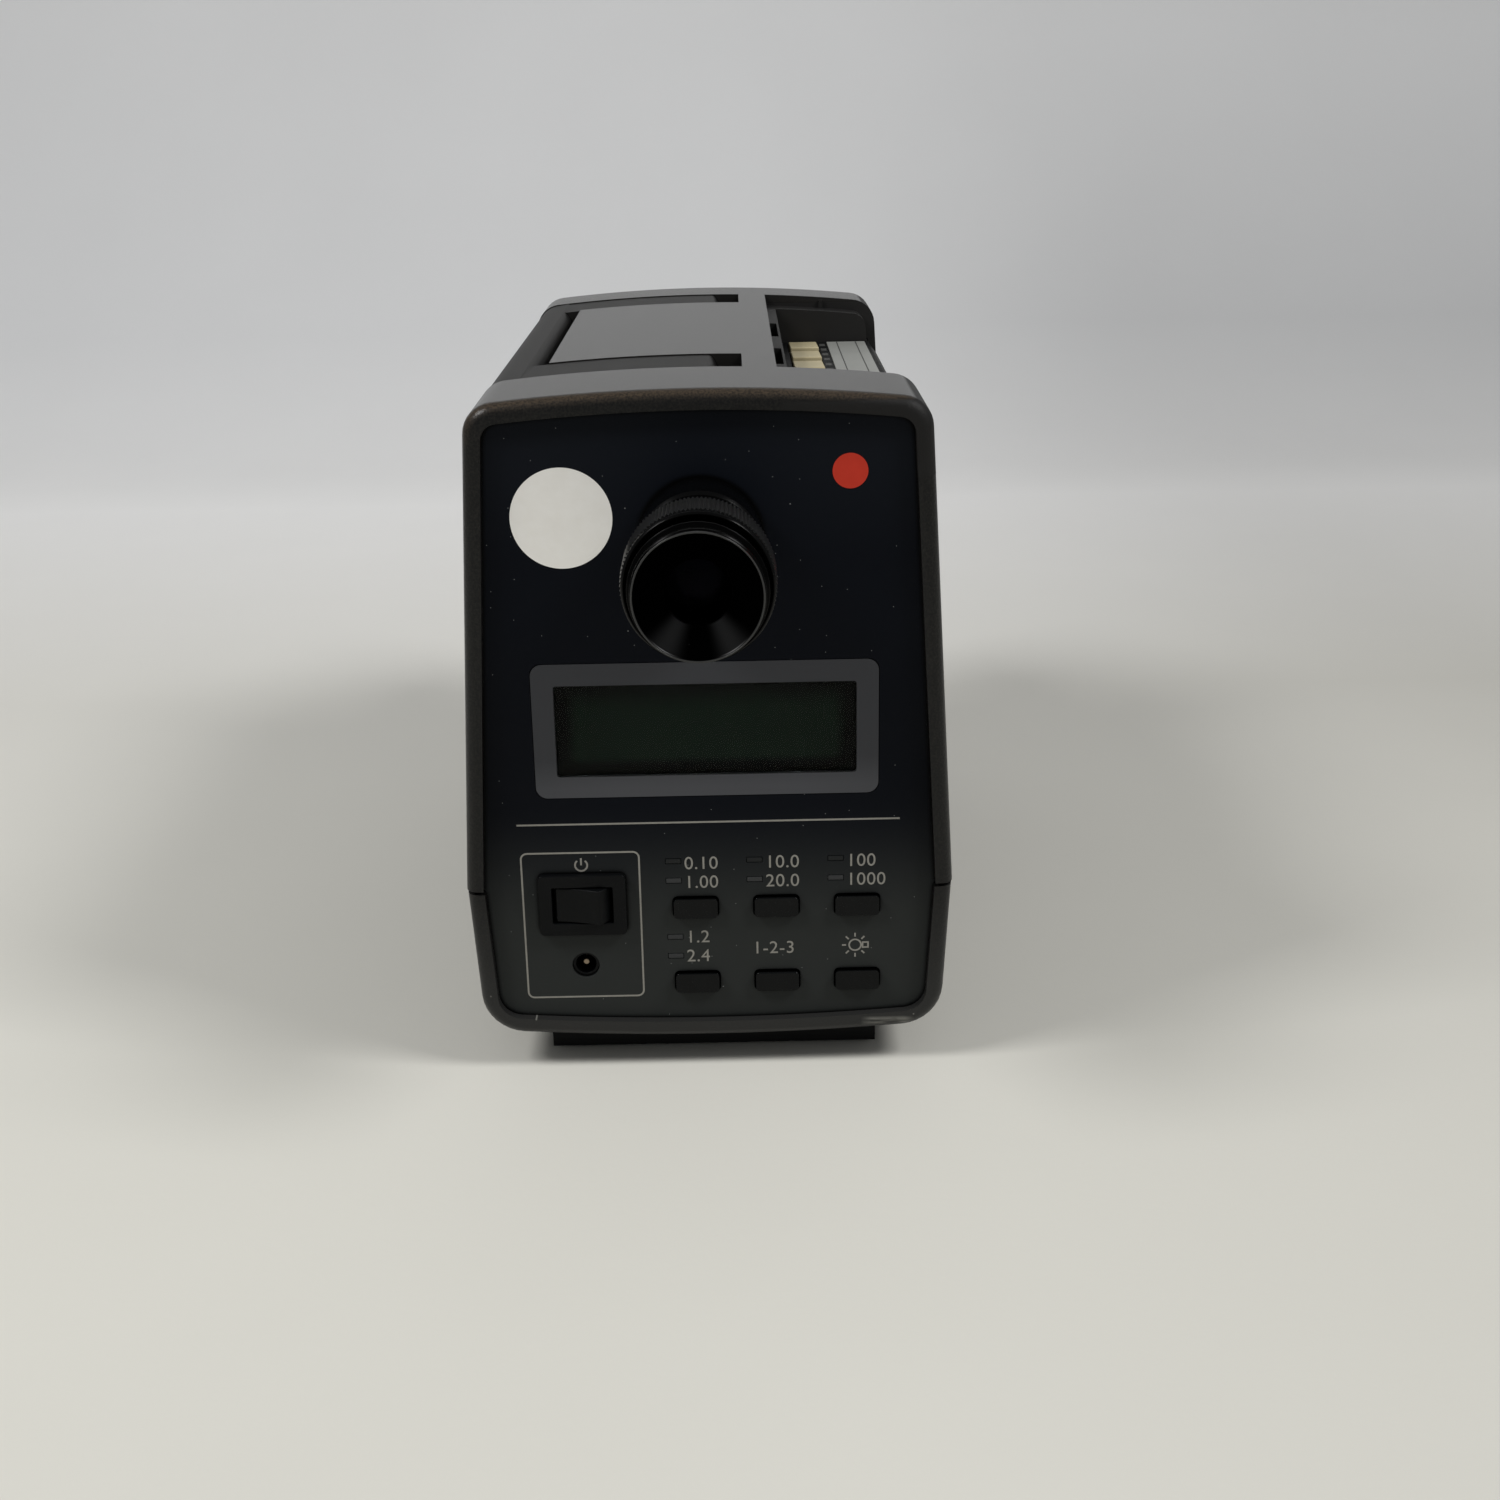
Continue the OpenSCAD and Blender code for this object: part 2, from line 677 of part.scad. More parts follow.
inlet_body_d = 12;
inlet_body_l = 14;
inlet_bore_d = 6.4;
inlet_wall = 2;
inlet_clear = 0.1;
contact_recess = 2.6;
module dc_inlet() color("black") difference() {
    union() {
        rod_y(-power_x, inlet_z, panel_t, panel_t + inlet_body_l, inlet_body_d);
        rod_y(-power_x, inlet_z, panel_t / 2, panel_t + fuse, inlet_d - 2 * inlet_clear);
    }
    rod_y(-power_x, inlet_z, -past, panel_t + inlet_body_l - inlet_wall, inlet_bore_d);
}

module dc_contact() color("gold")
    rod_y(-power_x, inlet_z, contact_recess, panel_t + inlet_body_l - inlet_wall, contact_d);

module indicator_lights() color("gray") along_y(0, panel_t) at_lights()
    square([light_w, light_h], center = true);

key_flange = 1;
key_flange_t = 1.2;
key_stem = 4;
key_stem_l = 3;
key_back = panel_t + key_clear + key_flange_t + key_stem_l;
module front_key(column, row) color("black") translate([key_xs[column], 0, key_zs[row]]) {
    along_y(-key_proud, panel_t + key_clear + fuse) round_rect(key_w, key_h, key_r);
    along_y(panel_t + key_clear, panel_t + key_clear + key_flange_t)
        square([key_w + 2 * key_flange, key_h + 2 * key_flange], center = true);
    along_y(panel_t + key_clear, key_back) square(key_stem, center = true);
}

module key_1() front_key(0, 0);
module key_2() front_key(1, 0);
module key_3() front_key(2, 0);
module key_4() front_key(0, 1);
module key_5() front_key(1, 1);
module key_6() front_key(2, 1);

// Board behind the keys on corner standoffs, with a switch under each key and a lamp behind each light
board_margin = 4;
standoff = 2.4;
switch_w = 6;
switch_gap = 0.3;
switch_t = 1.2;
lamp_w = 2.7;
key_board_y = key_back + key_travel + switch_gap + switch_t;
key_board_low = [key_xs[0] - light_dx - light_w / 2 - board_margin, key_zs[1] - key_h / 2 - board_margin];
key_board_high = [key_xs[2] + key_w / 2 + board_margin, key_zs[0] + light_dz + light_step + board_margin];
module key_board() color("darkgreen") {
    along_y(key_board_y, key_board_y + board_t)
        translate(key_board_low) square(key_board_high - key_board_low);
    along_y(panel_t, key_board_y + board_t / 2)
        for (x = [key_board_low[0], key_board_high[0] - standoff])
            for (z = [key_board_low[1], key_board_high[1] - standoff])
                translate([x, z]) square(standoff);
    along_y(key_board_y - switch_t, key_board_y + board_t / 2) at_keys() square(switch_w, center = true);
    along_y(panel_t + switch_gap, key_board_y + board_t / 2) at_lights() square(lamp_w, center = true);
}

// Eyepiece, from the panel outwards
nose_wall = 2.5;
nose_d = eye_tube_d + 2 * nose_wall;
ring_gap = 0.5;
diopter_e0 = eye_neck_l + ring_gap;
diopter_e1 = diopter_e0 + diopter_l;
lip_l = 1.5;
lip_clear = 0.4;
nose_e1 = diopter_e1 - lip_l - ring_gap;
groove = 0.6;
ridge_margin = 1;
edge_band = 4;
band_d = diopter_d - groove;
ridge_e0 = diopter_e0 + ridge_margin;
ridge_e1 = diopter_e1 - edge_band;
eyecup_spare = 0.7;
eyecup_e0 = diopter_e1 + eye_travel + eyecup_spare;
eyecup_e1 = eyecup_e0 + eyecup_l;
collar_l = 2;
collar_step = 1;
collar_d = eyecup_d + 2 * collar_step;
tube_back = 26;
tube_wall = 1.8;
lens_seat = 1.5;
eye_lens_t = 4;
base_chamfer = 1;

module eyepiece_base() color("black") turned() polygon([
    [eye_tube_d / 2 + run_clear, 0],
    [eye_base_d / 2, 0],
    [eye_base_d / 2, eye_base_l - base_chamfer],
    [eye_base_d / 2 - base_chamfer, eye_base_l],
    [eye_neck_d / 2, eye_base_l],
    [eye_neck_d / 2, eye_neck_l],
    [nose_d / 2, eye_neck_l],
    [nose_d / 2, nose_e1],
    [eye_tube_d / 2 + run_clear, nose_e1]]);

module diopter_ring() color("black") difference() {
    union() {
        ring(-diopter_e1 + edge_band / 2, -diopter_e0, diopter_d - 4 * groove, eye_tube_d);
        along_y(-ridge_e1, -ridge_e0) translate([0, axis_z]) ridged(diopter_d, groove, diopter_ridges);
        turned() polygon([
            [eye_tube_d / 2, ridge_e1],
            [band_d / 2, ridge_e1],
            [band_d / 2, diopter_e1 - base_chamfer],
            [band_d / 2 - base_chamfer, diopter_e1],
            [eye_tube_d / 2, diopter_e1]]);
    }
    rod_y(0, axis_z, -diopter_e1 + lip_l, -diopter_e0 + past, nose_d + 2 * run_clear);
    rod_y(0, axis_z, -diopter_e1 - past, -diopter_e0, eye_tube_d + 2 * lip_clear);
}

module eye_tube() color("black") ring(-eyecup_e0, -tube_back, eye_tube_d, eye_tube_d - 2 * tube_wall);

// Cup with a conical inside that leads down to the eye hole
module eyecup() color("black") turned() polygon([
    [eyecup_hole_d / 2, eyecup_e0],
    [collar_d / 2, eyecup_e0],
    [collar_d / 2, eyecup_e0 + collar_l],
    [eyecup_d / 2, eyecup_e0 + collar_l],
    [eyecup_d / 2, eyecup_e1 - base_chamfer],
    [eyecup_d / 2 - base_chamfer, eyecup_e1],
    [eyecup_mouth_d / 2, eyecup_e1],
    [eyecup_hole_d / 2, eyecup_e0 + lens_seat]]);

// Lens of radius r that bulges to the distance e1, drawn as radius and distance in front of the panel
module bulged_lens(r, e0, e1, bulge_r, sign) intersection() {
    translate([0, min(e0, e1)]) square([r, abs(e1 - e0)]);
    translate([0, e1 - sign * bulge_r]) circle(bulge_r, $fn = 256);
}

eye_bulge_r = 30;
eye_lens_e = eyecup_e0 - eye_lens_set;
module eye_lens() color("lightblue") turned()
    bulged_lens(eye_tube_d / 2 - tube_wall - pin_clear, eye_lens_e - eye_lens_t, eye_lens_e, eye_bulge_r, 1);

// Objective, from the rear panel outwards
flange_y1 = y_back + objective_flange_t;
focus_y0 = flange_y1 + ring_gap;
focus_y1 = focus_y0 + focus_l;
barrel_proud = 1;
barrel_y1 = focus_y1 + barrel_proud;
rim_gap = 1;
rim_y0 = barrel_y1 + rim_gap;
rim_y1 = rim_y0 + lens_rim_l;
mount_grip = 2;
mount_y0 = bench_y1 - bench_t - mount_grip;
tail_grip = 4;
tail_y = y_back - focus_travel - tail_grip;
lens_t = 9;
lens_recess = 2;
rear_lens_t = 5;
lens_bulge_r = 60;
rib_depth = 0.9;
rib_margin = 2;
hood_l = 4;
hood_step = 4;
front_lens_e = lens_recess - rim_y1;

module objective_mount() color("black") {
    ring(y_back, flange_y1, objective_flange_d, lens_tube_d + 2 * run_clear);
    ring(mount_y0, barrel_y1, objective_barrel_d, lens_tube_d + 2 * run_clear);
}

module focus_ring() color("black") difference() {
    union() {
        ring(focus_y0, focus_y1, focus_d - 4 * rib_depth, objective_barrel_d - fuse);
        along_y(focus_y0 + rib_margin, focus_y1 - rib_margin)
            translate([0, axis_z]) ridged(focus_d, rib_depth, focus_ribs);
    }
    rod_y(0, axis_z, focus_y0 - past, focus_y1 + past, objective_barrel_d + 2 * run_clear);
}

module lens_tube() color("black") difference() {
    union() {
        rod_y(0, axis_z, tail_y, rim_y0 + past, lens_tube_d);
        rod_y(0, axis_z, rim_y0, rim_y1, lens_rim_d);
    }
    rod_y(0, axis_z, tail_y - past, rim_y1 + past, lens_d);
    rod_y(0, axis_z, rim_y1 - lens_recess - hood_l, rim_y1 + past, lens_d + 2 * hood_step);
}

module front_lens() color("lightblue") turned()
    bulged_lens(lens_d / 2 - pin_clear, front_lens_e + hood_l + lens_t, front_lens_e, lens_bulge_r, -1);

module rear_lens() color("lightblue") turned()
    bulged_lens(lens_d / 2 - pin_clear, -y_back - rear_lens_t, -y_back, lens_bulge_r, 1);

// Handle: a grip that follows the left shoulder, on two flat arms
grip_inset = 0.4;
grip_r = 5;
grip_foot = grip_z + arm_clear;
grip_in = platform_edge + finger_gap;
grip_top = crown_z(grip_in) - grip_inset;
module grip_section() intersection() {
    polygon(upper_inset(grip_inset, z_seam));
    union() {
        translate([-body_w, grip_foot]) square([body_w - grip_in - grip_r, z_top]);
        translate([-body_w, grip_foot + grip_r])
            square([body_w - grip_in, grip_top - grip_foot - 2 * grip_r]);
        for (z = [grip_foot + grip_r, grip_top - grip_r]) translate([-grip_in - grip_r, z]) circle(grip_r);
    }
}

module carry_handle() color("dimgray") difference() {
    union() {
        along_y(bay_y0 + arm_clear, bay_y1 - arm_clear) grip_section();
        for (s = arm_spans) {
            block([-grip_in - grip_r, s[0] + arm_clear, arm_z0], [pivot_x, s[1] - arm_clear, arm_z1]);
            rod_y(pivot_x, pivot_z, s[0] + arm_clear, s[1] - arm_clear, arm_t);
        }
    }
    for (s = arm_spans) rod_y(pivot_x, pivot_z, s[0] - past, s[1] + past, pivot_d + 2 * run_clear);
}

module handle_pins() color("silver") for (s = arm_spans)
    rod_y(pivot_x, pivot_z, s[0] - pin_reach, s[1] + pin_reach, pivot_d);

// Settings bay
setting_n = 6;
setting_gap = 1.5;
setting_l = setting_pitch - setting_gap;
setting_ys = [for (i = [0 : setting_n - 1]) row_y1 - (i + 1 / 2) * setting_pitch];
key_slope = 1.2;
setting_flange = 1.2;
setting_foot = settings_t + setting_clear + setting_flange;
settings_lap = 2;

module at_settings() for (y = setting_ys) translate([setting_x, y, 0]) children();

module settings_panel() color("black") difference() {
    block([bay_x - wall + settings_lap, bay_y0, floor_z - settings_t], [panel_right, bay_y1, floor_z]);
    at_settings() translate([0, 0, floor_z - settings_t - past]) linear_extrude(settings_t + 2 * past)
        square([setting_w + 2 * setting_clear, setting_l + 2 * setting_clear], center = true);
}

plate_t = 0.5;
plate_margin = 1.5;
module settings_plate() color("lightgray")
    block([plate_x - plate_w / 2, inner_y0 + plate_margin, floor_z],
        [plate_x + plate_w / 2, inner_y1 - plate_margin, floor_z + plate_t]);

// Cream key whose top rises from its rear edge to its front edge
module setting_key(i) color("wheat") translate([setting_x, setting_ys[i], floor_z]) {
    translate([-setting_w / 2, 0, 0]) rotate([90, 0, 90]) linear_extrude(setting_w) polygon([
        [-setting_l / 2, -settings_t - setting_clear],
        [setting_l / 2, -settings_t - setting_clear],
        [setting_l / 2, setting_proud - key_slope],
        [-setting_l / 2, setting_proud]]);
    translate([-setting_w / 2 - setting_flange, -setting_l / 2, -setting_foot])
        cube([setting_w + 2 * setting_flange, setting_l, setting_flange]);
}

module setting_key_1() setting_key(0);
module setting_key_2() setting_key(1);
module setting_key_3() setting_key(2);
module setting_key_4() setting_key(3);
module setting_key_5() setting_key(4);
module setting_key_6() setting_key(5);

// Board under the setting keys, hung from the settings panel by two rails, with a switch under each key
rail_w = 3;
stack_t = 2.2;
stack_w = 8;
stack_z0 = floor_z - setting_foot - setting_travel - switch_gap - stack_t;
rail_inset = 1;
rail_xs = [bay_x + rail_inset, bay_right - 2 * rail_w];
module settings_board() color("darkgreen") {
    block([rail_xs[0], inner_y0, stack_z0 - board_t], [rail_xs[1] + rail_w, inner_y1, stack_z0]);
    for (x = rail_xs)
        block([x, inner_y0, stack_z0 - fuse], [x + rail_w, inner_y1, floor_z - settings_t]);
    at_settings() translate([-stack_w / 2, -stack_w / 2, stack_z0 - fuse])
        cube([stack_w, stack_w, stack_t + fuse]);
}

// Base
base_bottom = pad_proud;
base_clear = 0.05;
pad_sink = 1.5;
pad_xs = [-base_w / 2 + pad_inset, base_w / 2 - pad_inset];
pad_ys = [base_y + pad_inset, base_y + base_l - pad_inset];
tripod_y = base_y + base_l / 2;
base_sag = base_w * base_w / belly_r / 8;
base_skin = 0.5;
bush_z1 = z_base - base_clear - base_skin;

module at_pads() for (x = pad_xs, y = pad_ys) translate([x, y, 0]) children();

module base_plate() color("black") difference() {
    along_y(base_y, base_y + base_l) difference() {
        translate([-base_w / 2, base_bottom]) square([base_w, z_base - base_bottom + base_sag]);
        translate([0, z_base + belly_r]) circle(belly_r + base_clear, $fn = 512);
    }
    at_pads() cylinder(h = base_bottom + pad_sink, d = pad_d + 2 * pin_clear);
    translate([0, tripod_y, 0]) cylinder(h = bush_z1, d = bush_d + 2 * pin_clear);
}

module foot_pads() color("black") at_pads() cylinder(h = base_bottom + pad_sink, d = pad_d);

module tripod_bush() color("silver") translate([0, tripod_y, base_bottom]) difference() {
    cylinder(h = bush_z1 - base_bottom, d = bush_d);
    translate([0, 0, -past]) cylinder(h = tripod_l + past, d = tripod_d);
}

module case_screws() color("silver") at_posts() {
    translate([0, 0, head_z - screw_head_h]) cylinder(h = screw_head_h, d = screw_head_d);
    translate([0, 0, head_z - fuse]) cylinder(h = z_seam + thread_h - head_z + fuse, d = screw_d);
}

// Optical bench: a folded channel with bulkheads at both ends
bulkhead_z = axis_z + objective_barrel_d / 2 + bench_t;
light_hole_d = 24;
mirror_y = 190;
wheel_rim = 3;
wheel_gap = 6;
wheel_arm = wheel_d / 2 - filter_d / 2 - wheel_rim;
wheel_z1 = bench_z1 - bench_t - wheel_gap;
shaft_y = mirror_y - wheel_arm;
module optical_bench() color("lightgray") difference() {
    union() {
        block([-bench_half, bench_y0, bench_z1 - bench_t], [bench_half, bench_y1, bench_z1]);
        for (x = [-bench_half, bench_half - bench_t])
            block([x, bench_y0, bench_foot_z], [x + bench_t, bench_y1, bench_z1]);
        for (y = [bench_y0, bench_y1 - bench_t])
            block([-bench_half, y, bench_z1 - fuse], [bench_half, y + bench_t, bulkhead_z]);
    }
    rod_y(0, axis_z, bench_y0 - past, bench_y0 + bench_t + past, finder_d + 2 * pin_clear);
    rod_y(0, axis_z, bench_y1 - bench_t - past, bench_y1 + past, objective_barrel_d + 2 * pin_clear);
    translate([0, mirror_y, bench_z1 - bench_t - past])
        cylinder(h = bench_t + 2 * past, d = light_hole_d);
    translate([0, shaft_y, bench_z1 - bench_t - past])
        cylinder(h = bench_t + 2 * past, d = shaft_d + 2 * run_clear);
}

finder_wall = 1.5;
finder_gap = 30;
finder_y1 = mirror_y - finder_gap;
module finder_tube() color("black") ring(0, finder_y1, finder_d, finder_d - 2 * finder_wall);

// Half mirror between two cheeks that leave the light path open
cheek_t = 4;
cheek_half = mirror_w / 2;
bridge_t = 3;
holder_z1 = axis_z + cheek_half + bridge_t;
module mirror_holder() color("darkgray") {
    for (x = [-cheek_half - cheek_t, cheek_half])
        block([x, mirror_y - cheek_half, bench_z1], [x + cheek_t, mirror_y + cheek_half, holder_z1]);
    block([-cheek_half - cheek_t, mirror_y - cheek_half, holder_z1 - bridge_t],
        [cheek_half + cheek_t, mirror_y + cheek_half, holder_z1]);
}

mirror_angle = 45;
module beam_splitter() color("silver") translate([0, mirror_y, axis_z]) rotate([mirror_angle, 0, 0])
    translate([0, 0, mirror_t / 2]) cube([mirror_w, mirror_w, mirror_t], center = true);

// Filter wheel on a vertical shaft under the bench
filter_n = 4;
module at_filters() translate([0, shaft_y, wheel_z1 - wheel_t]) for (i = [0 : filter_n - 1])
    rotate(360 * i / filter_n) translate([0, wheel_arm, 0]) children();

module filter_wheel() color("black") difference() {
    union() {
        translate([0, shaft_y, wheel_z1 - wheel_t]) cylinder(h = wheel_t, d = wheel_d);
        translate([0, shaft_y, wheel_z1 - fuse]) cylinder(h = bench_z1 - wheel_z1 + fuse, d = shaft_d);
    }
    at_filters() translate([0, 0, -past]) cylinder(h = wheel_t + 2 * past, d = filter_d + 2 * pin_clear);
}

module colour_filters() color("khaki") at_filters() cylinder(h = wheel_t, d = filter_d);

motor_gap = 0.3;
motor_seat = 1;
module filter_motor() color("silver") translate([0, shaft_y, bench_z1]) difference() {
    cylinder(h = motor_l, d = motor_d);
    translate([0, 0, -past]) cylinder(h = motor_gap + past, d = shaft_d + 2 * motor_seat);
}

// Detector under the wheel, with a bracket across the bench and a light well
detector_w = 44;
detector_front = 15;
detector_back = 30;
detector_lift = 8;
detector_gap = 1;
detector_y1 = mirror_y + detector_back;
detector_z0 = board_z + board_t + detector_lift;
detector_z1 = wheel_z1 - wheel_t - detector_gap;
bracket_t = 10;
bracket_h = 20;
well_l = 10;
module detector_housing() color("silver") difference() {
    union() {
        block([-detector_w / 2, mirror_y - detector_front, detector_z0],
            [detector_w / 2, detector_y1, detector_z1]);
        block([-bench_half + bench_t, detector_y1 - bracket_t, detector_z0],
            [bench_half - bench_t, detector_y1, detector_z0 + bracket_h]);
    }
    translate([0, mirror_y, detector_z1 - well_l]) cylinder(h = well_l + past, d = filter_d);
}

chip_size = [16, 12, 3];
chip_xs = [-24, 2];
chip_y0 = 16;
chip_pitch = 24;
chip_rows = 4;
module main_board() color("darkgreen") {
    block([-board_half, board_y0, board_z], [board_half, board_y1, board_z + board_t]);
    for (x = chip_xs, i = [0 : chip_rows - 1])
        translate([x, board_y0 + chip_y0 + i * chip_pitch, board_z + board_t - fuse])
            cube(chip_size + [0, 0, fuse]);
}

// The whole instrument is centred over its overall length
y_mid = (rim_y1 - eyecup_e1) / 2;
module centred() translate([0, -y_mid, 0]) children();

centred() upper_cover();
centred() lower_case();
centred() front_panel();
centred() rear_panel();
centred() display_window();
centred() lcd_module();
centred() switch_bezel();
centred() power_rocker();
centred() dc_inlet();
centred() dc_contact();
centred() indicator_lights();
centred() key_1();
centred() key_2();
centred() key_3();
centred() key_4();
centred() key_5();
centred() key_6();
centred() key_board();
centred() eyepiece_base();
centred() diopter_ring();
centred() eye_tube();
centred() eyecup();
centred() eye_lens();
centred() objective_mount();
centred() focus_ring();
centred() lens_tube();
centred() front_lens();
centred() rear_lens();
centred() carry_handle();
centred() handle_pins();
centred() settings_panel();
centred() settings_plate();
centred() settings_board();
centred() setting_key_1();
centred() setting_key_2();
centred() setting_key_3();
centred() setting_key_4();
centred() setting_key_5();
centred() setting_key_6();
centred() base_plate();
centred() foot_pads();
centred() tripod_bush();
centred() case_screws();
centred() optical_bench();
centred() finder_tube();
centred() mirror_holder();
centred() beam_splitter();
centred() filter_wheel();
centred() colour_filters();
centred() filter_motor();
centred() detector_housing();
centred() main_board();
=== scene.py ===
"""Looks of a table-top luminance colorimeter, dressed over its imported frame, with its studio."""
import json
import math

import bmesh
import bpy
from mathutils import Matrix, Vector


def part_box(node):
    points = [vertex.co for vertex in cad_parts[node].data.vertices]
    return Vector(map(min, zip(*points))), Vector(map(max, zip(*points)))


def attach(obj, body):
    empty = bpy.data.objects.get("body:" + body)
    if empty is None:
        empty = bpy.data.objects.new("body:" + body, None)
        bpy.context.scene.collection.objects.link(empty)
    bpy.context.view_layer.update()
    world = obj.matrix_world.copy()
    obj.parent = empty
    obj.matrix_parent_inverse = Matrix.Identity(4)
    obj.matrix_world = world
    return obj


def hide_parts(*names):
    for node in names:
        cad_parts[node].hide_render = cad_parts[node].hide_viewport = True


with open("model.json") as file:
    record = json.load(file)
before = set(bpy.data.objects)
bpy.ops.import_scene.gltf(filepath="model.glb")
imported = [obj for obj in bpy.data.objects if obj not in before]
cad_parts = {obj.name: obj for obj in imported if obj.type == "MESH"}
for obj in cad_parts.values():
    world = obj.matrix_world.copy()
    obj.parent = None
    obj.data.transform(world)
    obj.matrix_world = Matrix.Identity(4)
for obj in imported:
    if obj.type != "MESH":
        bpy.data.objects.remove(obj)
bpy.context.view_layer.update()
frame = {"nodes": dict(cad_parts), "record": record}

MM = 0.001
BODY_OF = {n: body for body, nodes in frame["record"]["behaviour"]["bodies"].items() for n in nodes}


def middle(node):
    """Centre of a node's box at rest."""
    low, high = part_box(node)
    return (low + high) / 2


# Planes and lines that the pieces share
PANEL_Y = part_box("front_panel")[0].y
BACK_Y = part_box("rear_panel")[1].y
AXIS_Z = middle("eyecup").z
FLOOR_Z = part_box("settings_panel")[1].z
PRINT_T = 0.05 * MM

# Numbers of the front keys, and of the setting keys too
KEYS = range(1, 7)

# Sizes that the eyecup's shape and its finish go by, in mm from the axis and from the panel
EYECUP_CONE = 16.95
EYECUP_FRONT = (PANEL_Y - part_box("eyecup")[0].y) / MM


# Node building

MIX = "ShaderNodeMix"
RANGE = "ShaderNodeMapRange"
MATH = "ShaderNodeMath"
NOISE = "ShaderNodeTexNoise"
BUMP = "ShaderNodeBump"
MAPPING = "ShaderNodeMapping"
AXES = "ShaderNodeSeparateXYZ"


def linear(code):
    """Linear colour of an sRGB hex value."""
    parts = [int(code[i:i + 2], 16) / 255 for i in (1, 3, 5)]
    return (*[c / 12.92 if c <= 0.04045 else ((c + 0.055) / 1.055) ** 2.4 for c in parts], 1.0)


def wire(tree, item, inputs):
    """Fills a node's inputs, each given by its place or by its name among those in use. A hex colour or a value is
    set on the input, and a socket, or the first output of a node, is linked to it."""
    for key, value in inputs.items():
        named = [socket for socket in item.inputs if socket.name == key and socket.enabled]
        target = named[0] if named else item.inputs[key]
        if isinstance(value, bpy.types.Node):
            value = next(socket for socket in value.outputs if socket.enabled)
        if isinstance(value, bpy.types.NodeSocket):
            tree.links.new(value, target)
        else:
            target.default_value = linear(value) if isinstance(value, str) else value


def add(tree, kind, inputs=None, **settings):
    """Adds a node with its settings and its inputs."""
    item = tree.nodes.new(kind)
    for key, value in settings.items():
        setattr(item, key, value)
    wire(tree, item, inputs or {})
    return item


def finish_of(name, colour, roughness, **sockets):
    """New material with an even surface, its node tree, its shader and the coordinates of the piece in metres."""
    material = bpy.data.materials.new(name)
    material.use_nodes = True
    tree = material.node_tree
    shader = tree.nodes["Principled BSDF"]
    wire(tree, shader, {"Base Color": colour, "Roughness": roughness})
    wire(tree, shader, {label.replace("_", " "): value for label, value in sockets.items()})
    return material, tree, shader, add(tree, "ShaderNodeTexCoord").outputs["Object"]


def per_mm(size):
    """Scale of a pattern whose grains are about a size in mm across."""
    return 1 / (size * MM)


def mottled(tree, place, size_mm, detail, first, second):
    """Colour that drifts between two shades in patches of about a size."""
    cloud = add(tree, NOISE, {"Vector": place, "Scale": per_mm(size_mm), "Detail": detail})
    return add(tree, MIX, {"Factor": cloud, "A": first, "B": second}, data_type="RGBA")


def wavering(tree, place, size_mm, detail, low, high):
    """Value that drifts between two limits in patches of about a size."""
    cloud = add(tree, NOISE, {"Vector": place, "Scale": per_mm(size_mm), "Detail": detail})
    return add(tree, RANGE, {"Value": cloud, "From Min": 0.3, "From Max": 0.7, "To Min": low, "To Max": high})


def grained(tree, place, size_mm, detail, depth_mm):
    """Normals of a face raised by grains of about a size, as high as a depth."""
    grain = add(tree, NOISE, {"Vector": place, "Scale": per_mm(size_mm), "Detail": detail})
    return add(tree, BUMP, {"Height": grain, "Distance": depth_mm * MM})


def specks(tree, place, cell_mm, radius_mm, share, flat=False):
    """Mask of scattered round specks, one to a cell in a share of the cells, in space or flat on upright faces."""
    laid = add(tree, MAPPING, {"Vector": place, "Rotation": (-math.pi / 2, 0, 0)})
    cells = add(tree, "ShaderNodeTexVoronoi", {"Vector": laid, "Scale": per_mm(cell_mm)},
                voronoi_dimensions="2D" if flat else "3D")
    edge, core = radius_mm / cell_mm, 0.4 * radius_mm / cell_mm
    inside = add(tree, RANGE, {"Value": cells, "From Min": edge, "From Max": core})
    pick = add(tree, "ShaderNodeSeparateColor", {"Color": cells.outputs["Color"]})
    chosen = add(tree, MATH, {0: pick, 1: share}, operation="LESS_THAN")
    return add(tree, MATH, {0: inside, 1: chosen}, operation="MULTIPLY")


def band(tree, distance, place_mm, within_mm, fade_mm):
    """Mask of a band about a place along one axis, which fades out beyond its half width."""
    off = add(tree, MATH, {0: distance, 1: place_mm * MM}, operation="SUBTRACT")
    apart = add(tree, MATH, {0: off}, operation="ABSOLUTE")
    return add(tree, RANGE, {"Value": apart, "From Min": (within_mm + fade_mm) * MM, "From Max": within_mm * MM})


# Materials

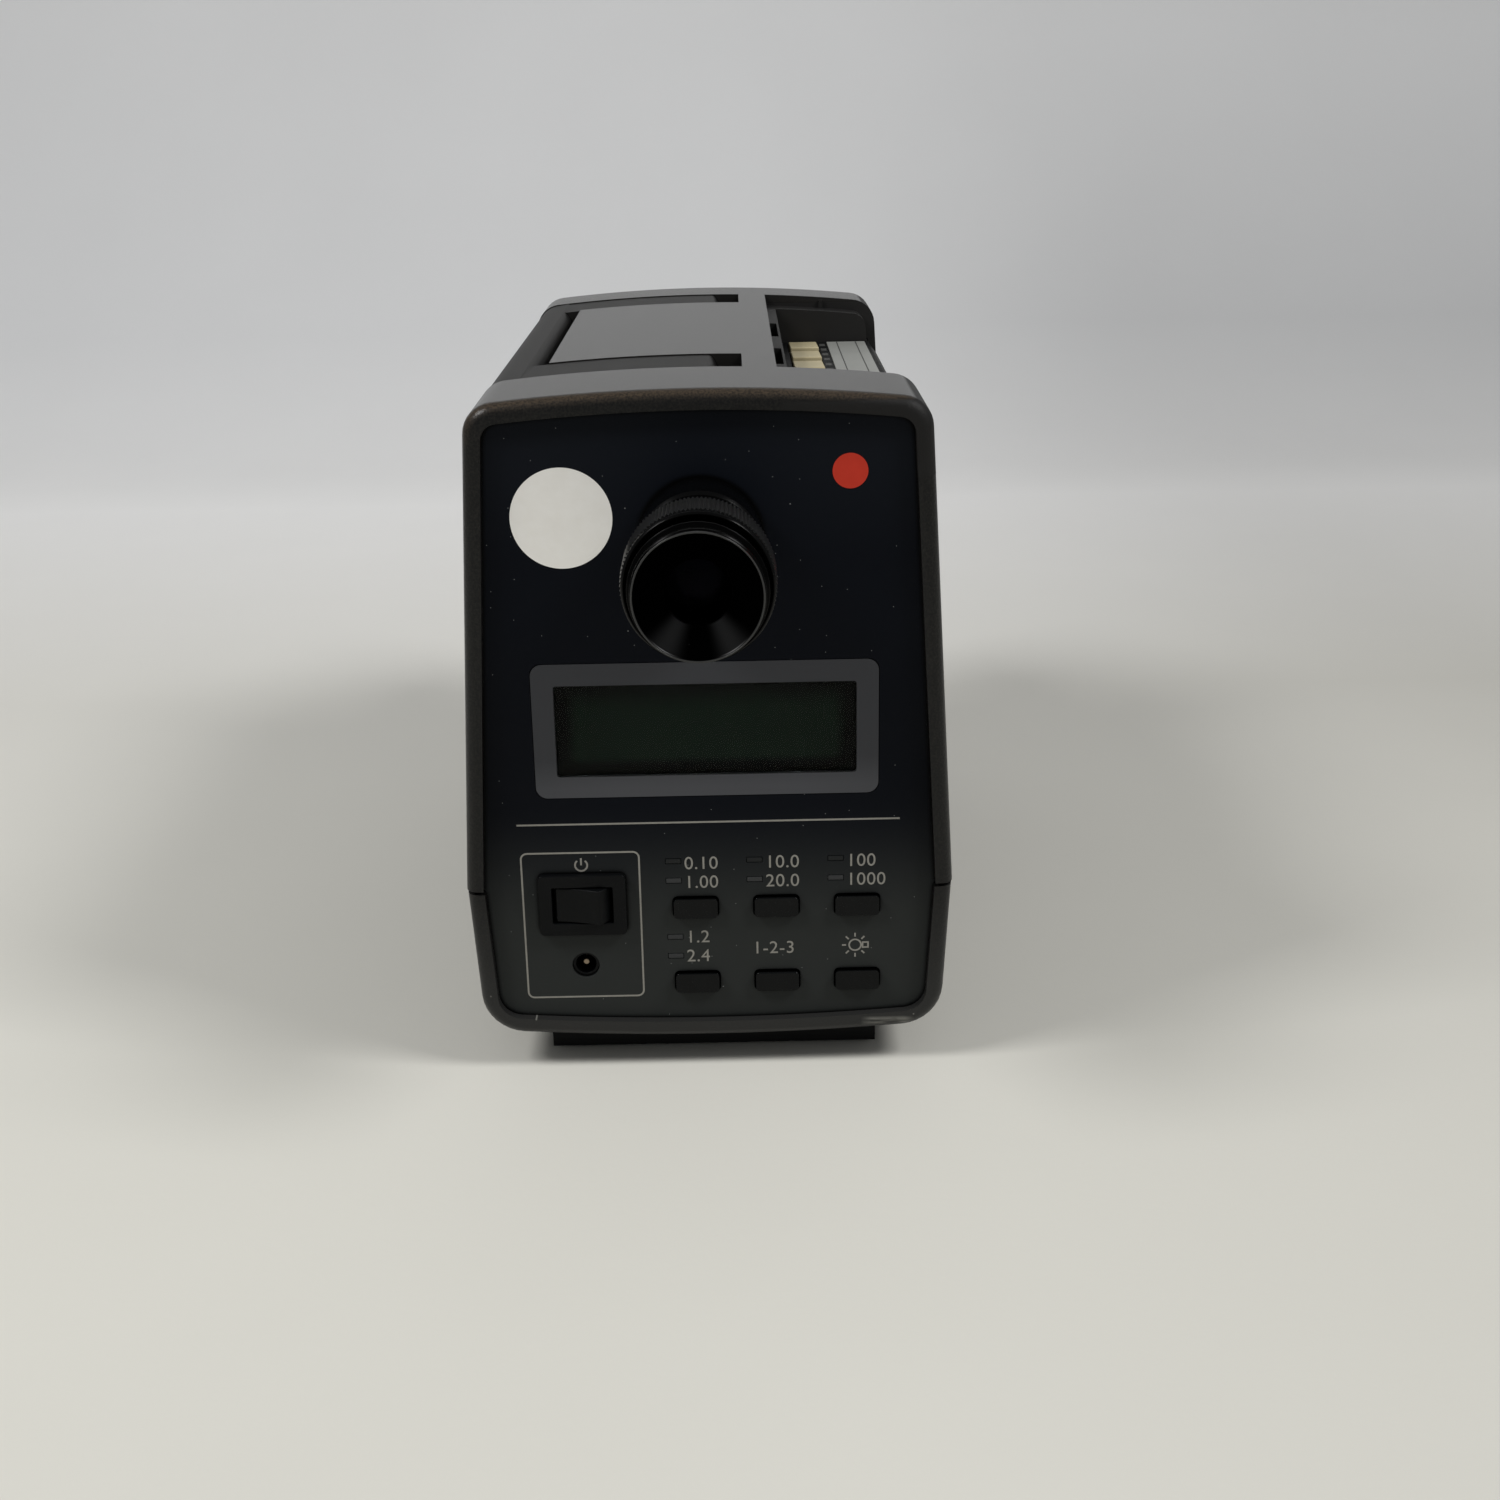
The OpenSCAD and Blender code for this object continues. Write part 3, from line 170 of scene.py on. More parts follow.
def moulded_abs():
    """ABS shell moulded in a spark-eroded tool: dark warm grey, smooth enough on top to throw back the backdrop,
    dull in the bay and painted darker there as its shade, with a painted warm highlight where the front edge rounds
    over, a painted floor reflection that lightens the rim low down, and scuffed light where the lower half has been
    set down. The grain is drawn at 0.6 mm so that it shows."""
    material, tree, shader, place = finish_of("moulded_abs", "#1e1d1c", 0.3, Specular_IOR_Level=0.29)
    x, y, z = add(tree, AXES, {"Vector": place}).outputs
    front = add(tree, RANGE, {"Value": y, "From Min": PANEL_Y + 2.2 * MM, "From Max": PANEL_Y - 0.4 * MM},
                interpolation_type="SMOOTHSTEP")

    # Bay: right of its inner wall, between its floor and its edge, where painted shade darkens the shell
    bay_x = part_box("settings_panel")[0].x
    under_edge = add(tree, RANGE, {"Value": z, "From Min": FLOOR_Z + 15.2 * MM, "From Max": FLOOR_Z + 14.2 * MM})
    past_wall = add(tree, RANGE, {"Value": x, "From Min": bay_x, "From Max": bay_x + 2 * MM})
    over_floor = add(tree, RANGE, {"Value": z, "From Min": FLOOR_Z - 8 * MM, "From Max": FLOOR_Z - 7 * MM})
    in_reach = add(tree, MATH, {0: past_wall, 1: over_floor}, operation="MULTIPLY")
    bay = add(tree, MATH, {0: under_edge, 1: in_reach}, operation="MULTIPLY")

    # Front rim: warm grain, lit lighter low down by a painted reflection of the floor, with a painted brown highlight
    # along the brow
    grain = add(tree, NOISE, {"Vector": place, "Scale": per_mm(0.6)})
    coarse = add(tree, RANGE, {"Value": grain, "From Min": 0.4, "From Max": 0.65})
    warm = add(tree, MIX, {"Factor": coarse, "A": "#101010", "B": "#1d1c1a"}, data_type="RGBA")
    # Painted reflection: the rim grows lighter towards the floor, as the floor's light falls on it.
    floor_lit_low = add(tree, RANGE, {"Value": z, "From Min": 60 * MM, "From Max": 8 * MM})
    shaded = add(tree, MIX, {"Factor": floor_lit_low, "A": warm, "B": "#2d2d2c"}, data_type="RGBA")
    # Painted highlight: a warm glinting band along the rounded brow of the front rim.
    high_up = add(tree, RANGE, {"Value": z, "From Min": FLOOR_Z + 2 * MM, "From Max": FLOOR_Z + 12 * MM})
    brow = add(tree, MATH, {0: band(tree, y, PANEL_Y / MM - 1.0, 0.7, 1.2), 1: high_up}, operation="MULTIPLY")
    highlight_grain = add(tree, RANGE, {"Value": grain, "From Min": 0.35, "From Max": 0.65, "To Min": 0.3})
    painted_glints = add(tree, MATH, {0: brow, 1: highlight_grain}, operation="MULTIPLY")
    rim = add(tree, MIX, {"Factor": painted_glints, "A": shaded, "B": "#43392e"}, data_type="RGBA")

    body = mottled(tree, place, 30, 3.0, "#1d1c1b", "#201f1e")
    outside = add(tree, MIX, {"Factor": front, "A": body, "B": rim}, data_type="RGBA")
    # Painted shade: the shell inside the bay takes a darker colour than elsewhere.
    moulded = add(tree, MIX, {"Factor": bay, "A": outside, "B": "#171615"}, data_type="RGBA")

    # Wear: one scraped patch at the foot of the front rim, and small chips above it
    at_front = add(tree, RANGE, {"Value": y, "From Min": PANEL_Y + 4 * MM, "From Max": PANEL_Y})
    drawn_out = add(tree, MAPPING, {"Vector": place, "Scale": (1 / 5, 1, 1)})
    scrape = add(tree, NOISE, {"Vector": drawn_out, "Scale": per_mm(1.6), "Detail": 4.0})
    scraped = add(tree, RANGE, {"Value": scrape, "From Min": 0.36, "From Max": 0.6})
    patch = add(tree, MATH, {0: band(tree, x, 55, 5.5, 3), 1: band(tree, z, 14.9, 0.7, 1.0)}, operation="MULTIPLY")
    patch_front = add(tree, MATH, {0: patch, 1: at_front}, operation="MULTIPLY")
    scuff = add(tree, MATH, {0: patch_front, 1: scraped}, operation="MULTIPLY")
    chip_zone = add(tree, RANGE, {"Value": z, "From Min": 45 * MM, "From Max": 20 * MM})
    chip_front = add(tree, MATH, {0: at_front, 1: chip_zone}, operation="MULTIPLY")
    chips = add(tree, MATH, {0: specks(tree, place, 7, 0.35, 0.25, True), 1: chip_front}, operation="MULTIPLY")
    worn = add(tree, MATH, {0: scuff, 1: chips}, operation="MAXIMUM")

    smooth = add(tree, RANGE, {"Value": front, "To Min": 0.25, "To Max": 0.3})
    dull = add(tree, RANGE, {"Value": bay, "To Max": 0.55})
    relief = add(tree, RANGE, {"Value": front, "To Min": 0.06})
    wire(tree, shader, {
        "Base Color": add(tree, MIX, {"Factor": worn, "A": moulded, "B": "#6f6e69"}, data_type="RGBA"),
        "Roughness": add(tree, MATH, {0: smooth, 1: dull}, operation="MAXIMUM"),
        "Specular IOR Level": add(tree, RANGE, {"Value": front, "To Min": 0.29, "To Max": 0.22}),
        "Normal": add(tree, BUMP, {"Height": grain, "Strength": relief, "Distance": 0.08 * MM})})
    return material


def handle_abs():
    """ABS handle of the same grain, a shade darker and duller, worn by hands."""
    material, tree, shader, place = finish_of("handle_abs", "#1a1918", 0.5, Specular_IOR_Level=0.19)
    wire(tree, shader, {
        "Base Color": mottled(tree, place, 22, 3.0, "#151413", "#191817"),
        "Normal": grained(tree, place, 0.8, 3.0, 0.025)})
    return material


def panel_film():
    """Polycarbonate film printed on its back: blue-black above, a little lighter again at the very top, and fading to
    charcoal at the keys, partly by its print and partly by painted light thrown up from the floor; with a satin face,
    a little dust, and painted shade that darkens it in a fine line along the rim and round whatever stands on it."""
    material, tree, shader, place = finish_of("panel_film", "#0a0b10", 0.42, Specular_IOR_Level=0.07)
    height = add(tree, AXES, {"Vector": place}).outputs["Z"]
    # Lighter towards the keys: partly the print, partly painted light from the floor below.
    to_keys = add(tree, RANGE, {"Value": height, "From Min": 90 * MM, "From Max": 44 * MM},
                  interpolation_type="SMOOTHSTEP")
    to_top = add(tree, RANGE, {"Value": height, "From Min": 165 * MM, "From Max": 200 * MM})
    upper = add(tree, MIX, {"Factor": to_top, "A": "#080b12", "B": "#14171d"}, data_type="RGBA")
    printed = add(tree, MIX, {"Factor": to_keys, "A": upper, "B": "#2e302f"}, data_type="RGBA")
    dust = add(tree, MATH, {0: specks(tree, place, 7, 0.14, 0.22, True), 1: specks(tree, place, 23, 0.2, 0.2, True)},
               operation="MAXIMUM")
    dusty = add(tree, MIX, {"Factor": dust, "A": printed, "B": "#969897"}, data_type="RGBA")
    # Painted shade: ambient occlusion darkens the film to black along the rim and round the keys and all that stands
    # on it.
    openness = add(tree, "ShaderNodeAmbientOcclusion", {"Distance": 2.4 * MM}, samples=8).outputs["AO"]
    out_of_painted_shade = add(tree, RANGE, {"Value": openness, "From Min": 0.55, "From Max": 0.8})
    wire(tree, shader, {
        "Base Color": add(tree, MIX, {"Factor": out_of_painted_shade, "A": "#010101", "B": dusty}, data_type="RGBA"),
        "Roughness": wavering(tree, place, 12, 3.0, 0.38, 0.48),
        "Normal": grained(tree, place, 0.6, 2.0, 0.012)})
    return material


def window_print():
    """Grey border printed behind the acrylic of the display window: grey under a smooth gloss, painted lighter along
    its foot as light thrown up from the floor.
    """
    material, tree, shader, place = finish_of("window_print", "#414246", 0.35, Specular_IOR_Level=0.25)
    foot_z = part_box("display_window")[0].z
    height = add(tree, AXES, {"Vector": place}).outputs["Z"]
    # Painted light: the border grows lighter towards its foot.
    lower = add(tree, RANGE, {"Value": height, "From Min": foot_z + 12 * MM, "From Max": foot_z + 3 * MM})
    wire(tree, shader, {
        "Base Color": add(tree, MIX, {"Factor": lower, "A": "#36373b", "B": "#45464a"}, data_type="RGBA"),
        "Normal": grained(tree, place, 5, 2.0, 0.01)})
    return material


def window_acrylic():
    """Cast acrylic pane under an anti-reflection coat: clear, smooth, with a faint smoke tint and hairline wipe
    marks. The low index stands for the coat, which throws back almost nothing."""
    material, tree, shader, place = finish_of("window_acrylic", "#d8dcda", 0.03, Transmission_Weight=1.0, IOR=1.1,
                                              Specular_IOR_Level=0.05)
    drawn_out = add(tree, MAPPING, {"Vector": place, "Scale": (1, 1, 1 / 16)})
    wipes_and_glint_fans = add(tree, NOISE, {"Vector": drawn_out, "Scale": per_mm(0.7), "Detail": 3.0})
    wire(tree, shader, {"Roughness": add(tree, RANGE, {
        "Value": wipes_and_glint_fans, "From Min": 0.45, "From Max": 0.8, "To Min": 0.02, "To Max": 0.12})})
    return material


def lcd_glass():
    """Liquid crystal glass without power: polariser film of a deep green, black towards its edges, partly its masked
    border and partly painted shade cast by the window's frame, deepest under the top.
    """
    material, tree, shader, place = finish_of("lcd_glass", "#0d120e", 0.3, Specular_IOR_Level=0.1)
    centre = middle("lcd_module")
    half_w, low_z, high_z = 43 * MM, centre.z - 10.5 * MM, centre.z + 14 * MM
    x, _, z = add(tree, AXES, {"Vector": place}).outputs
    aside = add(tree, MATH, {0: x}, operation="ABSOLUTE")
    inside = add(tree, RANGE, {"Value": aside, "From Min": half_w, "From Max": half_w - 5 * MM},
                 interpolation_type="SMOOTHSTEP")
    above = add(tree, RANGE, {"Value": z, "From Min": low_z - 1.5 * MM, "From Max": low_z + 1.5 * MM},
                interpolation_type="SMOOTHSTEP")
    below = add(tree, RANGE, {"Value": z, "From Min": high_z, "From Max": high_z - 9 * MM},
                interpolation_type="SMOOTHSTEP")
    # Painted shade: the green darkens to black within 5 mm of the sides and 9 mm of the top, as under the window's
    # frame.
    between = add(tree, MATH, {0: above, 1: below}, operation="MULTIPLY")
    lit = add(tree, MATH, {0: inside, 1: between}, operation="MULTIPLY")
    green = mottled(tree, place, 20, 2.0, "#17231c", "#1b2a1f")
    wire(tree, shader, {
        "Base Color": add(tree, MIX, {"Factor": lit, "A": "#040605", "B": green}, data_type="RGBA"),
        "Normal": grained(tree, place, 0.7, 1.0, 0.004)})
    return material


def black_moulding(name, colour, roughness, gloss):
    """Filled nylon or polycarbonate moulding: near black, satin, with a faint flow mottling."""
    material, tree, shader, place = finish_of(name, colour, roughness, Specular_IOR_Level=gloss)
    wire(tree, shader, {
        "Base Color": mottled(tree, place, 6, 3.0, colour, "#0e0f10"),
        "Roughness": wavering(tree, place, 4, 2.0, roughness - 0.05, roughness + 0.06),
        "Normal": grained(tree, place, 0.5, 2.0, 0.02)})
    return material


def key_polycarbonate():
    """Polycarbonate key tops: near black and satin on the face, with a gloss along the edges, and sides painted black
    and dull as the shade of their wells."""
    material, tree, shader, place = finish_of("key_polycarbonate", "#070808", 0.2, Specular_IOR_Level=0.11)
    face_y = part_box("key_1")[0].y
    depth = add(tree, AXES, {"Vector": place}).outputs["Y"]
    # Painted shade: behind the face the key's sides turn black and lose their gloss, as in the dark of their wells.
    side = add(tree, RANGE, {"Value": depth, "From Min": face_y + 0.45 * MM, "From Max": face_y + 0.75 * MM})
    face = mottled(tree, place, 6, 3.0, "#070808", "#0e0f10")
    wire(tree, shader, {
        "Base Color": add(tree, MIX, {"Factor": side, "A": face, "B": "#010101"}, data_type="RGBA"),
        "Specular IOR Level": add(tree, RANGE, {"Value": side, "To Min": 0.13, "To Max": 0.02}),
        "Roughness": wavering(tree, place, 4, 2.0, 0.15, 0.26),
        "Normal": grained(tree, place, 0.5, 2.0, 0.02)})
    return material


def black_anodised(name, colour, roughness, gloss):
    """Turned aluminium under a black anodised layer: deep black with a soft gloss, a little dust, and fine
    tool marks that run round the axis, drawn 0.5 mm apart so that they show."""
    material, tree, shader, place = finish_of(name, colour, roughness, Specular_IOR_Level=gloss)
    drawn_out = add(tree, MAPPING, {"Vector": place, "Scale": (1 / 60, 1, 1 / 60)})
    marks = add(tree, NOISE, {"Vector": drawn_out, "Scale": per_mm(0.5)})
    dust = specks(tree, place, 5, 0.2, 0.2)
    wire(tree, shader, {
        "Base Color": add(tree, MIX, {"Factor": dust, "A": colour, "B": "#404143"}, data_type="RGBA"),
        "Roughness": add(tree, RANGE, {
            "Value": marks, "From Min": 0.3, "From Max": 0.7, "To Min": roughness - 0.04, "To Max": roughness + 0.06}),
        "Normal": add(tree, BUMP, {"Height": marks, "Distance": 0.004 * MM})})
    return material


def bench_aluminium():
    """Milled aluminium sheet and castings: bright grey with long cutter marks."""
    material, tree, shader, place = finish_of("bench_aluminium", "#b9bbbd", 0.38, Metallic=1.0)
    drawn_out = add(tree, MAPPING, {"Vector": place, "Scale": (1, 1 / 18, 1)})
    marks = add(tree, NOISE, {"Vector": drawn_out, "Scale": per_mm(0.9), "Detail": 3.0})
    wire(tree, shader, {
        "Base Color": add(tree, MIX, {"Factor": marks, "A": "#aeb0b2", "B": "#c4c6c8"}, data_type="RGBA"),
        "Roughness": add(tree, RANGE, {
            "Value": marks, "From Min": 0.3, "From Max": 0.7, "To Min": 0.3, "To Max": 0.46}),
        "Normal": add(tree, BUMP, {"Height": marks, "Distance": 0.01 * MM})})
    return material


def eyecup_resin():
    """Phenolic resin, moulded and polished by use: deep black, glossy along the rim and painted grey there as its
    highlight, dull in the bowl but for two fans low on its sides where the gloss is raised as painted highlights, so
    that the turned grooves and some dust catch the light there."""
    material, tree, shader, place = finish_of("eyecup_resin", "#010101", 0.2, Specular_IOR_Level=0.1)
    fan_turn, fan_half, fan_core = math.radians(34), math.radians(24), math.radians(2)
    x, y, z = add(tree, AXES, {"Vector": place}).outputs
    across = add(tree, MAPPING, {"Vector": place, "Location": (0, 0, -AXIS_Z), "Scale": (1, 0, 1)})
    off_axis = add(tree, "ShaderNodeVectorMath", {0: across}, operation="LENGTH")
    bowl = add(tree, RANGE, {
        "Value": off_axis, "From Min": (EYECUP_CONE + 0.1) * MM, "From Max": EYECUP_CONE * MM})
    aside = add(tree, MATH, {0: x}, operation="ABSOLUTE")
    below = add(tree, MATH, {0: AXIS_Z, 1: z}, operation="SUBTRACT")
    bearing = add(tree, MATH, {0: aside, 1: below}, operation="ARCTAN2")
    off_fan = add(tree, MATH, {0: bearing, 1: fan_turn}, operation="SUBTRACT")
    from_fan = add(tree, MATH, {0: off_fan}, operation="ABSOLUTE")
    # Painted highlight: gloss is raised in two fans low on the bowl's sides, where the grooves' glints are to fall.
    wipes_and_glint_fans = add(tree, RANGE, {"Value": from_fan, "From Min": fan_half, "From Max": fan_core, "To Max": 0.2},
                interpolation_type="SMOOTHSTEP")
    # Painted highlight: the front rim takes a lighter grey, standing for the light line that runs round it.
    rim = add(tree, RANGE, {"Value": y, "From Min": PANEL_Y - (EYECUP_FRONT - 0.4) * MM,
                            "From Max": PANEL_Y - (EYECUP_FRONT - 0.1) * MM})
    rim_gloss = add(tree, RANGE, {"Value": rim, "To Min": 0.06, "To Max": 0.3})
    dust = specks(tree, place, 3.2, 0.16, 0.2)
    resin = add(tree, MIX, {"Factor": dust, "A": "#010101", "B": "#262625"}, data_type="RGBA")
    wire(tree, shader, {
        "Base Color": add(tree, MIX, {"Factor": rim, "A": resin, "B": "#343433"}, data_type="RGBA"),
        "Roughness": add(tree, RANGE, {"Value": bowl, "To Min": 0.22, "To Max": 0.3}),
        "Specular IOR Level": add(tree, MIX, {"Factor": bowl, "A": rim_gloss, "B": wipes_and_glint_fans}),
        "Normal": grained(tree, place, 0.7, 2.0, 0.004)})
    return material


def coated_glass():
    """Ground and polished crown glass under an anti-reflection coat, which throws back a faint violet. The index
    is set low for the coat."""
    material, tree, shader, place = finish_of("coated_glass", "#767c83", 0.01, Transmission_Weight=1.0, IOR=1.12,
                                              Specular_IOR_Level=0.12, Specular_Tint="#b9a8e0")
    haze = add(tree, NOISE, {"Vector": place, "Scale": per_mm(8), "Detail": 3.0})
    wire(tree, shader, {"Roughness": add(tree, RANGE, {
        "Value": haze, "From Min": 0.4, "From Max": 0.8, "To Max": 0.02})})
    return material


def legend_ink(name, thin, full):
    """Screen-printed ink: a grey film, a little thin and uneven."""
    material, tree, shader, place = finish_of(name, full, 0.55, Specular_IOR_Level=0.2)
    wire(tree, shader, {"Base Color": mottled(tree, place, 1.5, 3.0, thin, full)})
    return material


def cream_abs():
    """ABS key tops moulded in cream, a little yellowed, with a satin face."""
    material, tree, shader, place = finish_of("cream_abs", "#b9ad8b", 0.45)
    wire(tree, shader, {
        "Base Color": mottled(tree, place, 7, 3.0, "#b4a885", "#bfb391"),
        "Normal": grained(tree, place, 0.6, 2.0, 0.02)})
    return material


def grey_plate():
    """Satin aluminium foil plate with a printed light grey ground."""
    material, tree, shader, place = finish_of("grey_plate", "#8b8c88", 0.42)
    drawn_out = add(tree, MAPPING, {"Vector": place, "Scale": (1, 1 / 10, 1)})
    wire(tree, shader, {
        "Base Color": mottled(tree, place, 10, 3.0, "#858682", "#91928d"),
        "Normal": grained(tree, drawn_out, 0.5, 2.0, 0.01)})
    return material


def foot_rubber():
    """Moulded rubber: matt black that greys where it rubs."""
    material, tree, shader, place = finish_of("foot_rubber", "#141414", 0.8)
    wire(tree, shader, {
        "Base Color": mottled(tree, place, 3, 4.0, "#0f0f0f", "#222221"),
        "Normal": grained(tree, place, 0.7, 3.0, 0.05)})
    return material


def plated_steel():
    """Steel with bright zinc plating: cool grey metal with a mottled sheen."""
    material, tree, shader, place = finish_of("plated_steel", "#a5a7aa", 0.32, Metallic=1.0)
    wire(tree, shader, {
        "Base Color": mottled(tree, place, 2.5, 3.0, "#989a9e", "#b2b4b6"),
        "Roughness": wavering(tree, place, 1.2, 3.0, 0.25, 0.42)})
    return material


def contact_brass():
    """Spring brass under thin nickel, rubbed through at its end."""
    material, tree, shader, place = finish_of("contact_brass", "#93836f", 0.4, Metallic=1.0)
    wire(tree, shader, {"Base Color": mottled(tree, place, 1.0, 3.0, "#85745d", "#9d9080")})
    return material


def smoked_light():
    """Light pipe of smoked acrylic: grey when dark, the upper one of each upper pair almost black."""
    material, tree, shader, place = finish_of("smoked_light", "#343536", 0.35, Specular_IOR_Level=0.2)
    height = add(tree, AXES, {"Vector": place}).outputs["Z"]
    upper = add(tree, RANGE, {"Value": height, "From Min": 65 * MM, "From Max": 67 * MM})
    wire(tree, shader, {
        "Base Color": add(tree, MIX, {"Factor": upper, "A": "#343536", "B": "#181a1b"}, data_type="RGBA"),
        "Normal": grained(tree, place, 0.5, 1.0, 0.01)})
    return material


def circuit_board():
    """Glass epoxy board under green solder mask: satin green with the weave just showing."""
    material, tree, shader, place = finish_of("circuit_board", "#1d4a2c", 0.4)
    weave = add(tree, "ShaderNodeTexChecker", {"Vector": place, "Scale": per_mm(0.8)})
    wire(tree, shader, {
        "Base Color": mottled(tree, place, 3, 3.0, "#19442a", "#23553a"),
        "Normal": add(tree, BUMP, {"Height": weave.outputs["Fac"], "Distance": 0.01 * MM})})
    return material


def silvered_mirror():
    """Half-silvered optical flat: a bright even reflection with a trace of haze."""
    material, tree, shader, place = finish_of("silvered_mirror", "#d9dadb", 0.03, Metallic=1.0)
    haze = add(tree, NOISE, {"Vector": place, "Scale": per_mm(4), "Detail": 3.0})
    wire(tree, shader, {"Roughness": add(tree, RANGE, {
        "Value": haze, "From Min": 0.4, "From Max": 0.8, "To Min": 0.01, "To Max": 0.06})})
    return material


def filter_glass():
    """Dyed filter glass: amber to green by its place on the wheel."""
    material, tree, shader, place = finish_of("filter_glass", "#b58a2c", 0.05, Transmission_Weight=0.6, IOR=1.52)
    aside = add(tree, AXES, {"Vector": place}).outputs["X"]
    across = add(tree, RANGE, {"Value": aside, "From Min": -20 * MM, "From Max": 20 * MM})
    wire(tree, shader, {
        "Base Color": add(tree, MIX, {"Factor": across, "A": "#b5802c", "B": "#4f8a4a"}, data_type="RGBA")})
    return material


def sticker_paper(name, colour, soiled):
    """Coated paper sticker: even colour, soft sheen, faint soiling."""
    material, tree, shader, place = finish_of(name, colour, 0.45, Specular_IOR_Level=0.2)
    wire(tree, shader, {
        "Base Color": mottled(tree, place, 4, 4.0, colour, soiled),
        "Normal": grained(tree, place, 0.8, 2.0, 0.01)})
    return material


def sweep_paper():
    """Matt background paper: a warm off-white floor that turns cooler and paler to the back, greys on the wall and
    falls off a little to the right, all painted light that stands for how the lamps fall on it, with a faint mottle."""
    material, tree, shader, place = finish_of("sweep_paper", "#dcdad4", 0.9, Specular_IOR_Level=0.2)
    x, y, z = add(tree, AXES, {"Vector": place}).outputs
    along_paper = add(tree, MATH, {0: y, 1: z}, operation="ADD")
    away = add(tree, RANGE, {"Value": along_paper, "From Min": -0.2, "From Max": 1.65})
    # Painted light: the shades along the paper and towards the right stand for how the light falls on it.
    sides = []
    for codes in (("#d9d7ce", "#dad8d1", "#fcfbf9", "#ebebeb", "#e9e9e9"),
                  ("#c8c6be", "#c0beb7", "#e4e3e1", "#d0d0d0", "#e0e0e0")):
        shades = add(tree, "ShaderNodeValToRGB", {"Fac": away})
        stops = shades.color_ramp.elements
        for k in range(1, len(codes) - 1):
            stops.new(k / (len(codes) - 1))
        for stop, code in zip(stops, codes):
            stop.color = linear(code)
        sides.append(shades)
    to_right = add(tree, RANGE, {"Value": x, "From Max": 0.42}, interpolation_type="SMOOTHSTEP")
    ground = add(tree, MIX, {"Factor": to_right, "A": sides[0], "B": sides[1]}, data_type="RGBA")
    mottle = mottled(tree, place, 160, 4.0, "#f9f9f9", "#ffffff")
    wire(tree, shader, {
        "Base Color": add(tree, MIX, {"Factor": 1.0, "A": ground, "B": mottle}, data_type="RGBA",
                          blend_type="MULTIPLY"),
        "Normal": grained(tree, place, 3, 3.0, 0.05)})
    return material


ABS = moulded_abs()
HANDLE_ABS = handle_abs()
FILM = panel_film()
WINDOW_PRINT = window_print()
ACRYLIC = window_acrylic()
LCD_GLASS = lcd_glass()
SWITCH_BLACK = black_moulding("switch_nylon", "#08090a", 0.34, 0.1)
KEY_BLACK = key_polycarbonate()
BAY_BLACK = black_moulding("bay_moulding", "#0f0f0f", 0.5, 0.1)
ANODISED = black_anodised("black_anodised", "#030303", 0.17, 0.1)
# Painted light: the knurled copy of the black anodising is a lighter grey, so that its ridges read as lit.
GRIP_BLACK = black_anodised("knurled_anodised", "#1a1a1a", 0.32, 0.34)
ALUMINIUM = bench_aluminium()
RESIN = eyecup_resin()
GLASS = coated_glass()
INK = legend_ink("legend_ink", "#827f79", "#96948c")
FAINT_INK = legend_ink("rule_ink", "#3d3d3b", "#4a4a48")
CREAM = cream_abs()
PLATE_GREY = grey_plate()
RUBBER = foot_rubber()
STEEL = plated_steel()
BRASS = contact_brass()
SMOKED = smoked_light()
BOARD = circuit_board()
MIRROR = silvered_mirror()
FILTER = filter_glass()
RED_PAPER = sticker_paper("red_paper", "#c93826", "#bc3220")
WHITE_PAPER = sticker_paper("white_paper", "#f3f1ec", "#eae7e0")


# Pieces

WELD = 0.002 * MM
FLAT = math.radians(0.4)
SHARP = math.radians(34)


def new_piece(name, mesh, material=None):
    """Object at the origin, unturned, that holds a mesh."""
    if material:
        mesh.materials.clear()
        mesh.materials.append(material)
    piece = bpy.data.objects.new(name, mesh)
    bpy.context.scene.collection.objects.link(piece)
    return piece


def baked(piece):
    """Turns a piece's modifiers into plain mesh."""
    graph = bpy.context.evaluated_depsgraph_get()
    mesh = bpy.data.meshes.new_from_object(piece.evaluated_get(graph))
    piece.modifiers.clear()
    piece.data = mesh
    return piece


def smoothed(piece):
    """Shades a piece smooth, with its sharp edges kept."""
    piece.data.shade_smooth()
    piece.data.set_sharp_from_angle(angle=SHARP)
    return piece


def stands_for(piece, node):
    """Puts a piece in the place of a node, on the node's body."""
    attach(piece, BODY_OF[node])
    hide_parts(node)
    return piece


def goes_with(piece, node):
    """Puts an added piece on the body of the node that carries it."""
    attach(piece, BODY_OF[node])
    return piece


def mesh_of(shape, name):
    """Mesh of an edited shape, with its doubles merged and its faces turned outwards."""
    bmesh.ops.remove_doubles(shape, verts=shape.verts, dist=WELD)
    bmesh.ops.recalc_face_normals(shape, faces=shape.faces)
    mesh = bpy.data.meshes.new(name)
    shape.to_mesh(mesh)
    shape.free()
    return mesh


